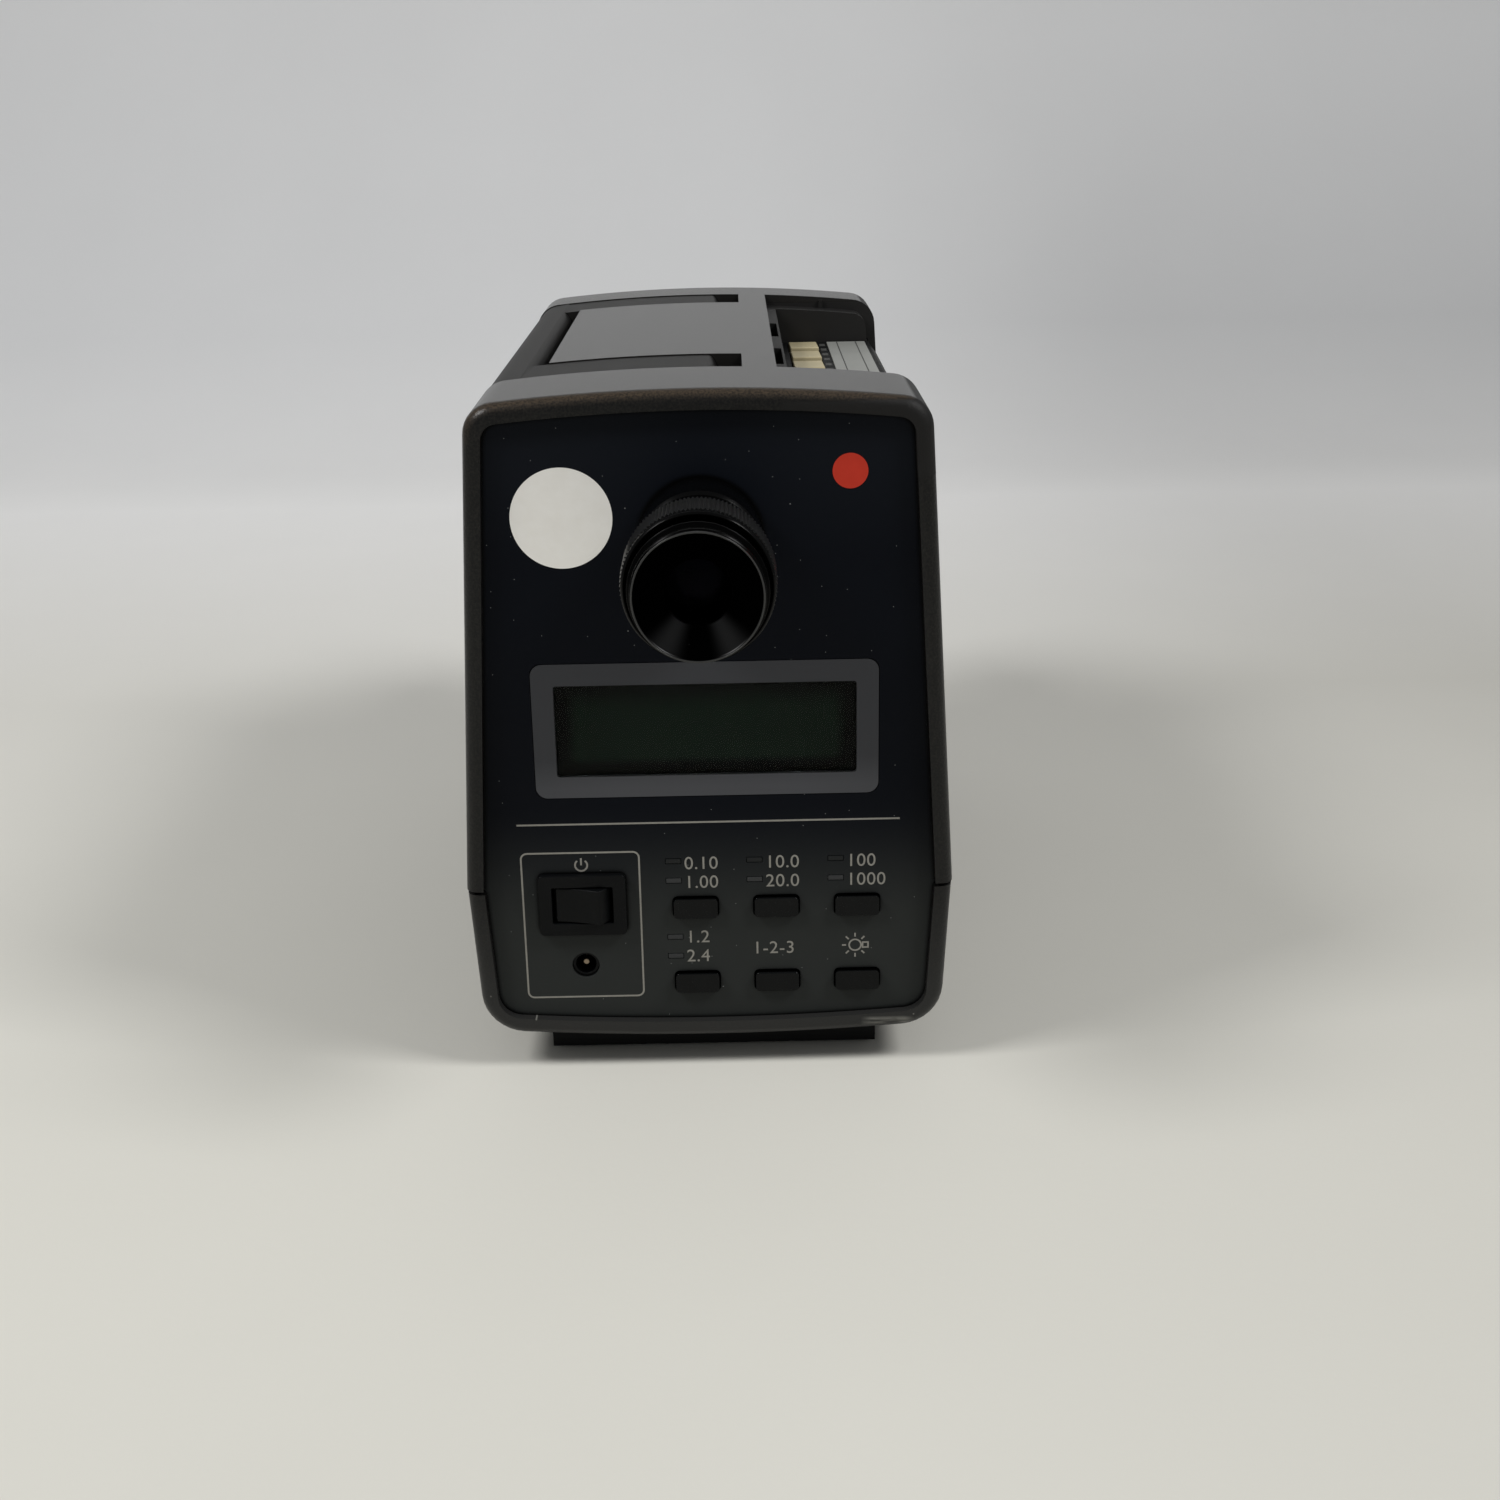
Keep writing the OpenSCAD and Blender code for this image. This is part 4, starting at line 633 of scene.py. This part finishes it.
def dressed(node, material, edge_mm, steps=3, reshape=None):
    """Copy of a node, reshaped where a function for that is given, with its sharp edges rounded and its wide faces
    shaded flat; it stands for the node."""
    mesh = frame["nodes"][node].data.copy()
    if "custom_normal" in mesh.attributes:
        mesh.attributes.remove(mesh.attributes["custom_normal"])
    shape = bmesh.new()
    shape.from_mesh(mesh)
    bmesh.ops.remove_doubles(shape, verts=shape.verts, dist=WELD)
    bmesh.ops.dissolve_limit(shape, angle_limit=FLAT, verts=shape.verts, edges=shape.edges)
    if reshape:
        reshape(shape)
    weight = shape.edges.layers.float.new("bevel_weight_edge")
    for edge in shape.edges:
        edge.smooth = True
        if edge.is_manifold and edge.calc_face_angle() > SHARP:
            edge[weight] = 1.0
    shape.to_mesh(mesh)
    shape.free()
    mesh.shade_smooth()
    piece = new_piece(node + "_dressed", mesh, material)
    bevel = piece.modifiers.new("round_edges", "BEVEL")
    bevel.width = edge_mm * MM
    bevel.segments = steps
    bevel.limit_method = "WEIGHT"
    bevel.miter_outer = "MITER_ARC"
    flat = piece.modifiers.new("flat_faces", "WEIGHTED_NORMAL")
    flat.mode = "FACE_AREA"
    return stands_for(baked(piece), node)


def painted(node, material):
    """Keeps a node's own solid and gives it a material."""
    slots = frame["nodes"][node].data.materials
    slots.clear()
    slots.append(material)


# Turned pieces about the optical axis

TURN_STEPS = 128
EASE_STEPS = 4


def eased(points):
    """Profile with its corners rounded; a point is a radius, a distance along and a fillet, in mm."""
    profile = []
    for i, (radius, distance, fillet) in enumerate(points):
        corner = Vector((radius, distance))
        if not fillet:
            profile.append(corner)
            continue
        before = (Vector(points[i - 1][:2]) - corner).normalized()
        after = (Vector(points[(i + 1) % len(points)][:2]) - corner).normalized()
        half = before.angle(after) / 2
        reach = fillet / math.tan(half)
        centre = corner + (before + after).normalized() * fillet / math.sin(half)
        start, end = corner + before * reach - centre, corner + after * reach - centre
        for k in range(EASE_STEPS + 1):
            profile.append(centre + fillet * start.slerp(end, k / EASE_STEPS))
    return profile


def turned(name, points, material, face_y, ahead):
    """Solid turned about the optical axis; distances run from face_y, ahead is their sign along Y."""
    shape = bmesh.new()
    rings = []
    for radius, distance in eased(points):
        y = face_y + ahead * distance * MM
        count = TURN_STEPS if radius > 0 else 1
        turns = [2 * math.pi * k / TURN_STEPS for k in range(count)]
        rings.append([shape.verts.new((radius * MM * math.sin(a), y, AXIS_Z + radius * MM * math.cos(a)))
                      for a in turns])
    for first, second in zip(rings, rings[1:] + rings[:1]):
        for k in range(TURN_STEPS):
            loop = [first[k % len(first)], first[(k + 1) % len(first)],
                    second[(k + 1) % len(second)], second[k % len(second)]]
            corners = list(dict.fromkeys(loop))
            if len(corners) > 2:
                shape.faces.new(corners)
    return smoothed(new_piece(name, mesh_of(shape, name), material))


def ridge_tree():
    """Geometry tree for straight ridges that stand round a ring about the optical axis."""
    tree = bpy.data.node_groups.new("ridge_ring", "GeometryNodeTree")
    for label, kind in (("Count", "Int"), ("Tip radius", "Float"), ("Ridge radius", "Float"),
                        ("Length", "Float"), ("Place", "Vector"), ("Finish", "Material")):
        tree.interface.new_socket(label, in_out="INPUT", socket_type="NodeSocket" + kind)
    tree.interface.new_socket("Ridges", in_out="OUTPUT", socket_type="NodeSocketGeometry")
    given = add(tree, "NodeGroupInput").outputs
    inner = add(tree, MATH, {0: given["Tip radius"], 1: given["Ridge radius"]}, operation="SUBTRACT")
    circle = add(tree, "GeometryNodeMeshCircle", {"Vertices": given["Count"], "Radius": inner})
    ridge = add(tree, "GeometryNodeMeshCylinder", {
        "Vertices": 4, "Radius": given["Ridge radius"], "Depth": given["Length"]})
    spot = add(tree, "GeometryNodeInputPosition")
    facing = add(tree, "FunctionNodeAlignRotationToVector", {"Vector": spot}, axis="X")
    row = add(tree, "GeometryNodeInstanceOnPoints", {"Points": circle, "Instance": ridge, "Rotation": facing})
    turn = add(tree, "GeometryNodeTransform", {
        "Geometry": row, "Translation": given["Place"], "Rotation": (math.pi / 2, 0, 0)})
    real = add(tree, "GeometryNodeRealizeInstances", {"Geometry": turn})
    skin = add(tree, "GeometryNodeSetMaterial", {"Geometry": real, "Material": given["Finish"]})
    add(tree, "NodeGroupOutput", {"Ridges": skin})
    return tree


def grown(name, tree, **values):
    """Plain mesh piece grown by a geometry tree from its named inputs."""
    piece = new_piece(name, bpy.data.meshes.new(name))
    step = piece.modifiers.new(name, "NODES")
    step.node_group = tree
    for item in tree.interface.items_tree:
        if item.in_out == "INPUT" and item.name in values:
            step[item.identifier] = values[item.name]
    return baked(piece)


RIDGES = ridge_tree()


def knurl(name, node, count, tip_mm, radius_mm, from_y, to_y, material):
    """Ridges round a turned piece between two places along Y: square bars laid on edge, sunk in its face."""
    piece = grown(name, RIDGES, **{
        "Count": count, "Tip radius": tip_mm * MM, "Ridge radius": radius_mm * MM,
        "Length": abs(to_y - from_y), "Place": (0, (from_y + to_y) / 2, AXIS_Z), "Finish": material})
    return goes_with(piece, node)


def reach_of(node, face_y, ahead):
    """Distances in mm from a face at which a node starts and ends."""
    return sorted(ahead * (corner.y - face_y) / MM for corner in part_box(node))


# Eyepiece

def eyepiece():
    """Base, neck, diopter ring with a straight knurl, sliding tube and eyecup, from the panel outwards."""
    bore, neck, sleeve = 13.05, 17.0, 15.5
    neck_end = 37.0
    base_end = reach_of("eyepiece_base", PANEL_Y, -1)[1]
    base = turned("eyepiece_barrel", [
        (bore, 0, 0), (18.2, 0, 0.3), (18.2, 19.8, 0.5), (17.3, 20.8, 0.3), (neck, 22.2, 0.3), (neck, neck_end, 0.5),
        (sleeve, neck_end, 0), (sleeve, base_end, 0), (bore, base_end, 0)], ANODISED, PANEL_Y, -1)
    stands_for(base, "eyepiece_base")
    ring_bore, ridge_count, ridge_tip, ridge_radius = 15.6, 112, 20.95, 0.58
    low, high = reach_of("diopter_ring", PANEL_Y, -1)
    knurl_from, knurl_to, recess = low + 2.6, high - 3.3, high - 4.0
    ring = turned("diopter_grip", [
        (ring_bore, low, 0), (19.4, low, 0.4), (19.4, knurl_from - 0.6, 0.2), (19.9, knurl_from, 0.1),
        (19.9, knurl_to, 0.1), (20.5, knurl_to + 0.3, 0.2), (20.6, high - 0.8, 0.4), (20.0, high, 0.3),
        (19.4, high - 0.3, 0.1), (18.6, recess, 0), (ring_bore, recess, 0)], ANODISED, PANEL_Y, -1)
    stands_for(ring, "diopter_ring")
    knurl("diopter_knurl", "diopter_ring", ridge_count, ridge_tip, ridge_radius,
          PANEL_Y - knurl_from * MM, PANEL_Y - knurl_to * MM, GRIP_BLACK)
    tube_in, tube_out = 11.2, 13.0
    start, end = reach_of("eye_tube", PANEL_Y, -1)
    tube = turned("eye_slide_tube", [
        (tube_in, start, 0.2), (tube_out, start, 0.2), (tube_out, end, 0), (tube_in, end, 0)], ANODISED, PANEL_Y, -1)
    stands_for(tube, "eye_tube")
    stands_for(eyecup_shell(), "eyecup")
    lens_r, front_bulge, back_bulge = 11.15, 1.6, 0.4
    back, front = reach_of("eye_lens", PANEL_Y, -1)
    lens = turned("eye_lens_glass", lens_profile(lens_r, back, front, front_bulge, back_bulge), GLASS, PANEL_Y, -1)
    stands_for(lens, "eye_lens")


def lens_profile(radius, back, front, front_bulge, back_bulge, steps=10):
    """Profile of a lens whose two faces bulge by the given heights inside its length."""
    shares = [k / steps for k in range(steps + 1)]
    front_face = [(radius * share, front - front_bulge * share ** 2, 0) for share in shares]
    back_face = [(radius * share, back + back_bulge * share ** 2, 0) for share in reversed(shares)]
    return front_face + back_face


def eyecup_shell():
    """Eyecup with a flange, a thin rolled rim and a conical inside cut with fine concentric grooves."""
    hole, mouth, flange, neck, bead = 9.0, 17.1, 18.8, 17.5, 17.9
    back, front = reach_of("eyecup", PANEL_Y, -1)
    grooves, groove_depth = 14, 0.1
    cone_back, cone_front = back + 1.2, front - 0.4
    inside = []
    for k in range(2 * grooves + 1):
        share = k / (2 * grooves)
        radius = EYECUP_CONE + (hole - EYECUP_CONE) * share
        inside.append((radius, cone_front + (cone_back - cone_front) * share - groove_depth * (k % 2), 0))
    return turned("eyecup_shell", [
        (hole, back, 0), (flange, back, 0.2), (flange, back + 1.2, 0.3), (neck, back + 1.7, 0.2),
        (neck, back + 2.6, 0.2), (bead, back + 3.1, 0.2), (bead, front - 1.9, 0.4), (neck, front - 1.5, 0.1),
        (neck, front, 0.2), (mouth, front, 0.12)] + inside, RESIN, PANEL_Y, -1)


# Objective

def objective():
    """Fixed flange and barrel, ribbed focus ring, and the lens tube that it drives."""
    flange, barrel, mount_bore = 33.0, 26.0, 22.55
    flange_end = 8.0
    start, end = reach_of("objective_mount", BACK_Y, 1)
    mount = turned("objective_flange", [
        (mount_bore, start, 0), (barrel, start, 0.4), (barrel, 0, 0), (flange, 0, 0.3),
        (flange, flange_end - 1.4, 0.4), (flange - 1.4, flange_end, 0.4), (barrel, flange_end, 0), (barrel, end, 0.3),
        (mount_bore, end, 0)], ANODISED, BACK_Y, 1)
    stands_for(mount, "objective_mount")
    ring_bore, rib_count, rib_tip, rib_radius, rib_inset = 26.06, 48, 31.9, 1.7, 2.2
    low, high = reach_of("focus_ring", BACK_Y, 1)
    ring = turned("focus_grip", [
        (ring_bore, low, 0), (30.0, low, 0.4), (30.8, low + 2.0, 0.3), (30.8, high - 2.0, 0.3), (30.0, high, 0.4),
        (ring_bore, high, 0)], ANODISED, BACK_Y, 1)
    stands_for(ring, "focus_ring")
    knurl("focus_ribs", "focus_ring", rib_count, rib_tip, rib_radius,
          BACK_Y + (low + rib_inset) * MM, BACK_Y + (high - rib_inset) * MM, GRIP_BLACK)
    tube_in, tube_out, head, groove, seat = 20.0, 22.5, 29.0, 28.4, 47.5
    tail, front = reach_of("lens_tube", BACK_Y, 1)
    turns, thread_r, thread_pitch, thread_depth = 7, 24.0, 0.75, 0.3
    threads = []
    for k in range(turns):
        crest = front - 0.8 - k * thread_pitch
        threads += [(thread_r, crest, 0), (thread_r - thread_depth, crest - thread_pitch / 2, 0)]
    tube = turned("lens_barrel", [
        (tube_in, tail, 0), (tube_out, tail, 0.3), (tube_out, 32.5, 0), (head, 32.5, 0.5), (head, 36.0, 0.3),
        (groove, 36.6, 0.2), (groove, 39.0, 0.2), (head, 39.6, 0.3), (head, front, 0.7), (24.6, front, 0.3),
        *threads, (22.4, seat, 0), (tube_in, seat, 0)], ANODISED, BACK_Y, 1)
    stands_for(tube, "lens_tube")
    lens_r = 19.95
    for name, node, front_bulge, back_bulge in (("front_glass", "front_lens", 3.4, 0.3),
                                                ("rear_glass", "rear_lens", 0.3, 3.0)):
        back, front = reach_of(node, BACK_Y, 1)
        lens = turned(name, lens_profile(lens_r, back, front, front_bulge, back_bulge), GLASS, BACK_Y, 1)
        stands_for(lens, node)


# Flat prints and plates on the panel

def flat_mesh(name, loops, thickness):
    """Plate between closed outlines, with holes where outlines nest, in the XY plane, its face at the thickness."""
    curve = bpy.data.curves.new(name, "CURVE")
    curve.dimensions = "2D"
    curve.fill_mode = "BOTH"
    curve.extrude = thickness / 2
    for loop in loops:
        spline = curve.splines.new("POLY")
        spline.points.add(len(loop) - 1)
        spline.use_cyclic_u = True
        for point, (x, y) in zip(spline.points, loop):
            point.co = (x, y, 0, 1)
    return mesh_from_curve(name, curve, thickness)


def mesh_from_curve(name, curve, thickness):
    """Mesh of a flat curve or text, raised so that its back lies at zero."""
    holder = bpy.data.objects.new(name, curve)
    bpy.context.scene.collection.objects.link(holder)
    bpy.context.view_layer.update()
    mesh = bpy.data.meshes.new_from_object(holder.evaluated_get(bpy.context.evaluated_depsgraph_get()))
    bpy.data.objects.remove(holder)
    mesh.transform(Matrix.Translation((0, 0, thickness / 2)))
    shape = bmesh.new()
    shape.from_mesh(mesh)
    merged = mesh_of(shape, name)
    bpy.data.meshes.remove(mesh)
    return merged


def round_loop(width, height, radius, steps=6):
    """Outline of a rectangle with round corners."""
    loop = []
    for quarter in range(4):
        sx, sy = ((1, 1), (-1, 1), (-1, -1), (1, -1))[quarter]
        for k in range(steps + 1):
            a = math.pi / 2 * (quarter + k / steps)
            loop.append((sx * (width / 2 - radius) + radius * math.cos(a),
                         sy * (height / 2 - radius) + radius * math.sin(a)))
    return loop


def arc_loop(radius, start=0.0, end=360.0, steps=48):
    """Points of an arc, in degrees; a full turn gives a circle."""
    span = math.radians(end - start)
    count = steps if end - start >= 360 else steps + 1
    return [(radius * math.cos(math.radians(start) + span * k / steps),
             radius * math.sin(math.radians(start) + span * k / steps)) for k in range(count)]


def upright(x, z, y=PANEL_Y):
    """Stands a flat plate up on the panel, its face towards the operator."""
    return Matrix.Translation((x, y, z)) @ Matrix.Rotation(math.pi / 2, 4, "X")


def joined(name, meshes, material):
    """One piece from several meshes."""
    shape = bmesh.new()
    for mesh in meshes:
        shape.from_mesh(mesh)
        bpy.data.meshes.remove(mesh)
    mesh = bpy.data.meshes.new(name)
    shape.to_mesh(mesh)
    shape.free()
    return new_piece(name, mesh, material)


def moved(mesh, matrix):
    """Mesh carried to its place."""
    mesh.transform(matrix)
    return mesh


def numerals(words, cap, left, base):
    """Plain numbers, cap high, from a left edge and a base line on the panel."""
    cap_share = 0.73  # of the font's size
    curve = bpy.data.curves.new("numerals", "FONT")
    curve.body = words
    curve.size = cap / cap_share
    curve.space_character = 1.05
    curve.extrude = PRINT_T / 2
    return moved(mesh_from_curve("numerals", curve, PRINT_T), upright(left, base))


def power_sign(height):
    """Open ring with an upright bar, as loops."""
    ring, stroke, gap = height / 2, 0.55 * MM, 40
    start, end, half, bar_top = 90 + gap, 450 - gap, stroke / 2, 1.1 * ring
    bow = arc_loop(ring, start, end) + arc_loop(ring - stroke, start, end)[::-1]
    bar = [(-half, 0), (half, 0), (half, bar_top), (-half, bar_top)]
    return [bow, bar]


def lamp_sign():
    """Round bulb with a square foot to the right and seven rays, as loops."""
    bulb, stroke, foot_half, foot_long = 2.1 * MM, 0.5 * MM, 1.1 * MM, 2.2 * MM
    ray_start, ray_end, half = 2.8 * MM, 4.1 * MM, stroke / 2
    loops = [arc_loop(bulb), arc_loop(bulb - stroke)]
    for inset in (0, stroke):
        left, right, side = bulb + inset, bulb + foot_long - inset, foot_half - inset
        loops.append([(left, -side), (right, -side), (right, side), (left, side)])
    for k in range(1, 8):
        turn = Matrix.Rotation(math.radians(45 * k), 2)
        ray = ((ray_start, -half), (ray_end, -half), (ray_end, half), (ray_start, half))
        loops.append([tuple(turn @ Vector(corner)) for corner in ray])
    return loops


def panel_prints():
    """Rule, power frame, number legends and signs in ink on the panel."""
    stroke, cap = 0.55 * MM, 4.3 * MM
    rule_z, rule_half = 82.2 * MM, 58.5 * MM
    rule = flat_mesh("rule", [[(-rule_half, 0), (rule_half, 0), (rule_half, stroke), (-rule_half, stroke)]], PRINT_T)
    prints = [moved(rule, upright(0, rule_z - stroke / 2))]
    switch = middle("switch_bezel")
    frame_w, frame_h, frame_r = 36.8 * MM, 49.4 * MM, 2.2 * MM
    frame_x, frame_z, sign_z = switch.x - 0.3 * MM, 48.4 * MM, 68.7 * MM
    outline = flat_mesh("power_frame", [
        round_loop(frame_w, frame_h, frame_r),
        round_loop(frame_w - 2 * stroke, frame_h - 2 * stroke, frame_r - stroke)], PRINT_T)
    prints.append(moved(outline, upright(frame_x, frame_z)))
    prints.append(moved(flat_mesh("power_sign", power_sign(cap), PRINT_T), upright(switch.x, sign_z)))

    # Heights of the two lines over a key's centre, and how far they start left of it
    upper, lower, lead = (12.7 * MM, 6.4 * MM), (13.3 * MM, 6.8 * MM), 3.3 * MM
    legends = (("key_1", ("0.10", "1.00"), upper), ("key_2", ("10.0", "20.0"), upper),
               ("key_3", ("100", "1000"), upper), ("key_4", ("1.2", "2.4"), lower))
    for node, words, rises in legends:
        key = middle(node)
        prints += [numerals(w, cap, key.x - lead, key.z + rise) for w, rise in zip(words, rises)]
    wide_lead, wide_rise, lamp_lead, lamp_rise = 7.6 * MM, 9.1 * MM, 0.6 * MM, 11.4 * MM
    wide, lamp = middle("key_5"), middle("key_6")
    prints.append(numerals("1-2-3", cap, wide.x - wide_lead, wide.z + wide_rise))
    sign = flat_mesh("lamp_sign", lamp_sign(), PRINT_T)
    prints.append(moved(sign, upright(lamp.x - lamp_lead, lamp.z + lamp_rise)))
    goes_with(joined("panel_prints", prints, INK), "front_panel")


def stickers():
    """Plain round paper dots on the panel."""
    thickness = 0.12 * MM
    for name, x, z, across, paper in (("red_dot", 43.4, 189.6, 10.3, RED_PAPER),
                                      ("white_disc", -40.3, 177.2, 29.7, WHITE_PAPER)):
        disc = flat_mesh(name, [arc_loop(across / 2 * MM, steps=96)], thickness)
        goes_with(new_piece(name, moved(disc, upright(x * MM, z * MM)), paper), "front_panel")


def display():
    """Window with a printed grey border round a clear pane, over the liquid crystal glass."""
    low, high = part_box("display_window")
    centre = (low + high) / 2
    thickness = high.y - low.y
    window_r = 3.5 * MM
    lcd_w, lcd_h, lcd_r = 90.6 * MM, 28.8 * MM, 0.9 * MM
    border = flat_mesh("window_border", [
        round_loop(high.x - low.x, high.z - low.z, window_r), round_loop(lcd_w, lcd_h, lcd_r)], thickness)
    piece = new_piece("window_border", moved(border, upright(0, centre.z, high.y)), WINDOW_PRINT)
    stands_for(smoothed(piece), "display_window")
    pane_t, gap = 0.6 * MM, 0.02 * MM
    pane = flat_mesh("window_pane", [round_loop(lcd_w - gap, lcd_h - gap, lcd_r)], pane_t)
    goes_with(new_piece("window_pane", moved(pane, upright(0, centre.z, low.y + pane_t)), ACRYLIC), "display_window")
    painted("lcd_module", LCD_GLASS)


# Settings bay, case and controls

def mark_tree():
    """Geometry tree for a row of small raised marks."""
    tree = bpy.data.node_groups.new("mark_row", "GeometryNodeTree")
    for label, kind in (("Count", "Int"), ("Start", "Vector"), ("Step", "Vector"), ("Size", "Vector"),
                        ("Finish", "Material")):
        tree.interface.new_socket(label, in_out="INPUT", socket_type="NodeSocket" + kind)
    tree.interface.new_socket("Marks", in_out="OUTPUT", socket_type="NodeSocketGeometry")
    given = add(tree, "NodeGroupInput").outputs
    line = add(tree, "GeometryNodeMeshLine", {
        "Count": given["Count"], "Start Location": given["Start"], "Offset": given["Step"]}, mode="OFFSET")
    mark = add(tree, "GeometryNodeMeshCube", {"Size": given["Size"]})
    row = add(tree, "GeometryNodeInstanceOnPoints", {"Points": line, "Instance": mark})
    real = add(tree, "GeometryNodeRealizeInstances", {"Geometry": row})
    skin = add(tree, "GeometryNodeSetMaterial", {"Geometry": real, "Material": given["Finish"]})
    add(tree, "NodeGroupOutput", {"Marks": skin})
    return tree


def settings_bay():
    """Bay floor, cream keys, printed plate with ruled lines, and a row of marks beside the keys."""
    dressed("settings_panel", BAY_BLACK, 0.2)
    for i in KEYS:
        dressed(f"setting_key_{i}", CREAM, 0.5)
    dressed("settings_plate", PLATE_GREY, 0.1, 1)
    low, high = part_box("settings_plate")
    first_y = middle("setting_key_1").y
    pitch = middle("setting_key_2").y - first_y
    marks = mark_tree()
    mark_x, mark_w, mark_h = 45.6 * MM, 2.2 * MM, 6.0 * MM
    rule_x, rule_pitch, rule_w, rule_margin = low.x + 3.9 * MM, 7.4 * MM, 0.4 * MM, 1.0 * MM
    for name, start, step, count, size in (
            ("key_marks", (mark_x, first_y - pitch / 4, FLOOR_Z), (0, pitch / 2, 0), 2 * len(KEYS),
             (mark_w, mark_h, 2 * PRINT_T)),
            ("plate_rules", (rule_x, (low.y + high.y) / 2, high.z), (rule_pitch, 0, 0), 2,
             (rule_w, high.y - low.y - 2 * rule_margin, 2 * PRINT_T))):
        piece = grown(name, marks, Count=count, Start=start, Step=step, Size=size, Finish=FAINT_INK)
        goes_with(piece, "settings_plate")


def crown_arms(shape):
    """Raises the tops of the handle's arms to run with the crown of the case, a little below it. The arms are cut
    across at even steps, and the raise eases in over a height above the pivot."""
    crown_r, sunk, foot, ease = 570 * MM, 0.4 * MM, 2.0 * MM, 1.5 * MM
    cuts_from, cuts_to, cut_step = -52, 4, 4
    crown_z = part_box("upper_cover")[1].z
    joints = frame["record"]["behaviour"]["joints"]
    pivot = next(joint["pos_m"] for joint in joints if joint["name"] == "handle_lift")
    top_z = max(vert.co.z for vert in shape.verts if abs(vert.co.x - pivot[0]) < 1 * MM)
    for x in range(cuts_from, cuts_to + 1, cut_step):
        geometry = shape.verts[:] + shape.edges[:] + shape.faces[:]
        bmesh.ops.bisect_plane(shape, geom=geometry, plane_co=(x * MM, 0, 0), plane_no=(1, 0, 0))
    for vert in shape.verts:
        crown = crown_z - crown_r + math.sqrt(crown_r ** 2 - vert.co.x ** 2) - sunk
        share = (vert.co.z - pivot[2] - foot) / ease
        if crown > top_z and share > 0:
            vert.co.z += (crown - top_z) * min(share, 1.0)


def case_and_handle():
    """Both shells, the panels, the handle and the base."""
    dressed("upper_cover", ABS, 0.5, 4)
    dressed("lower_case", ABS, 0.4)
    dressed("front_panel", FILM, 0.12, 1)
    dressed("rear_panel", ANODISED, 0.2, 1)
    dressed("carry_handle", HANDLE_ABS, 0.6, reshape=crown_arms)
    dressed("base_plate", BAY_BLACK, 0.8)
    dressed("foot_pads", RUBBER, 0.6)
    dressed("tripod_bush", STEEL, 0.3)


def controls():
    """Front keys, rocker and its bezel, inlet and lights."""
    for i in KEYS:
        dressed(f"key_{i}", KEY_BLACK, 0.7)
    dressed("switch_bezel", SWITCH_BLACK, 0.6)
    dressed("power_rocker", SWITCH_BLACK, 0.4)
    dressed("dc_inlet", SWITCH_BLACK, 0.15)
    dressed("dc_contact", BRASS, 0.4)
    dressed("indicator_lights", SMOKED, 0.15, 1)


def inner_works():
    """Pieces inside the case keep their solids."""
    for node, material in (
            ("key_board", BOARD), ("settings_board", BOARD), ("main_board", BOARD), ("optical_bench", ALUMINIUM),
            ("mirror_holder", ALUMINIUM), ("detector_housing", ALUMINIUM), ("finder_tube", ANODISED),
            ("beam_splitter", MIRROR), ("filter_wheel", ANODISED), ("colour_filters", FILTER),
            ("filter_motor", STEEL), ("handle_pins", STEEL), ("case_screws", STEEL)):
        painted(node, material)


# Studio

def studio():
    """Paper sweep, two soft boxes overhead and a low room light."""
    front_y, sweep_y, sweep_r, side, height = -4.0, 0.83, 0.55, 4.0, 2.4
    steps = 24
    path = [(front_y, 0.0)]
    path += [(sweep_y + sweep_r * math.sin(a), sweep_r * (1 - math.cos(a)))
             for a in (math.pi / 2 * k / steps for k in range(steps + 1))]
    path.append((sweep_y + sweep_r, height))
    shape = bmesh.new()
    rows = [[shape.verts.new((x, y, z)) for x in (-side, side)] for y, z in path]
    for first, second in zip(rows, rows[1:]):
        shape.faces.new((first[0], first[1], second[1], second[0]))
    mesh = bpy.data.meshes.new("sweep")
    shape.to_mesh(mesh)
    shape.free()
    sweep = smoothed(new_piece("sweep", mesh, sweep_paper()))
    aim = Vector((0, 0, 0.08))
    across, watts = 0.42, 12
    for name, place in (("left_box", Vector((-0.95, -0.5, 1.25))), ("right_box", Vector((0.95, -0.5, 1.25)))):
        light = bpy.data.lights.new(name, "AREA")
        light.shape = "SQUARE"
        light.size = across
        light.energy = watts
        lamp = bpy.data.objects.new(name, light)
        lamp.location = place
        lamp.rotation_euler = (aim - place).to_track_quat("-Z", "Y").to_euler()
        bpy.context.scene.collection.objects.link(lamp)
    world = bpy.data.worlds.new("room")
    world.use_nodes = True
    wire(world.node_tree, world.node_tree.nodes["Background"], {"Color": "#c9cbcd", "Strength": 0.45})
    bpy.context.scene.world = world
    bpy.context.scene.view_settings.view_transform = "Standard"


def camera():
    """Camera at the photographed angle, for a square picture, solved from the square features of the panel."""
    aside, off_panel, above = 9.96 * MM, 553.23 * MM, 299.7 * MM
    turns = (70.6255, 0.9525, -0.6646)
    lens = bpy.data.cameras.new("photo_camera")
    lens.lens = 46.70
    lens.sensor_width = 36.0
    lens.clip_end = 20.0
    eye = bpy.data.objects.new("photo_camera", lens)
    eye.location = (aside, PANEL_Y - off_panel, above)
    eye.rotation_euler = [math.radians(turn) for turn in turns]
    bpy.context.scene.collection.objects.link(eye)
    bpy.context.scene.camera = eye


camera()
studio()
case_and_handle()
controls()
display()
panel_prints()
stickers()
eyepiece()
objective()
settings_bay()
inner_works()
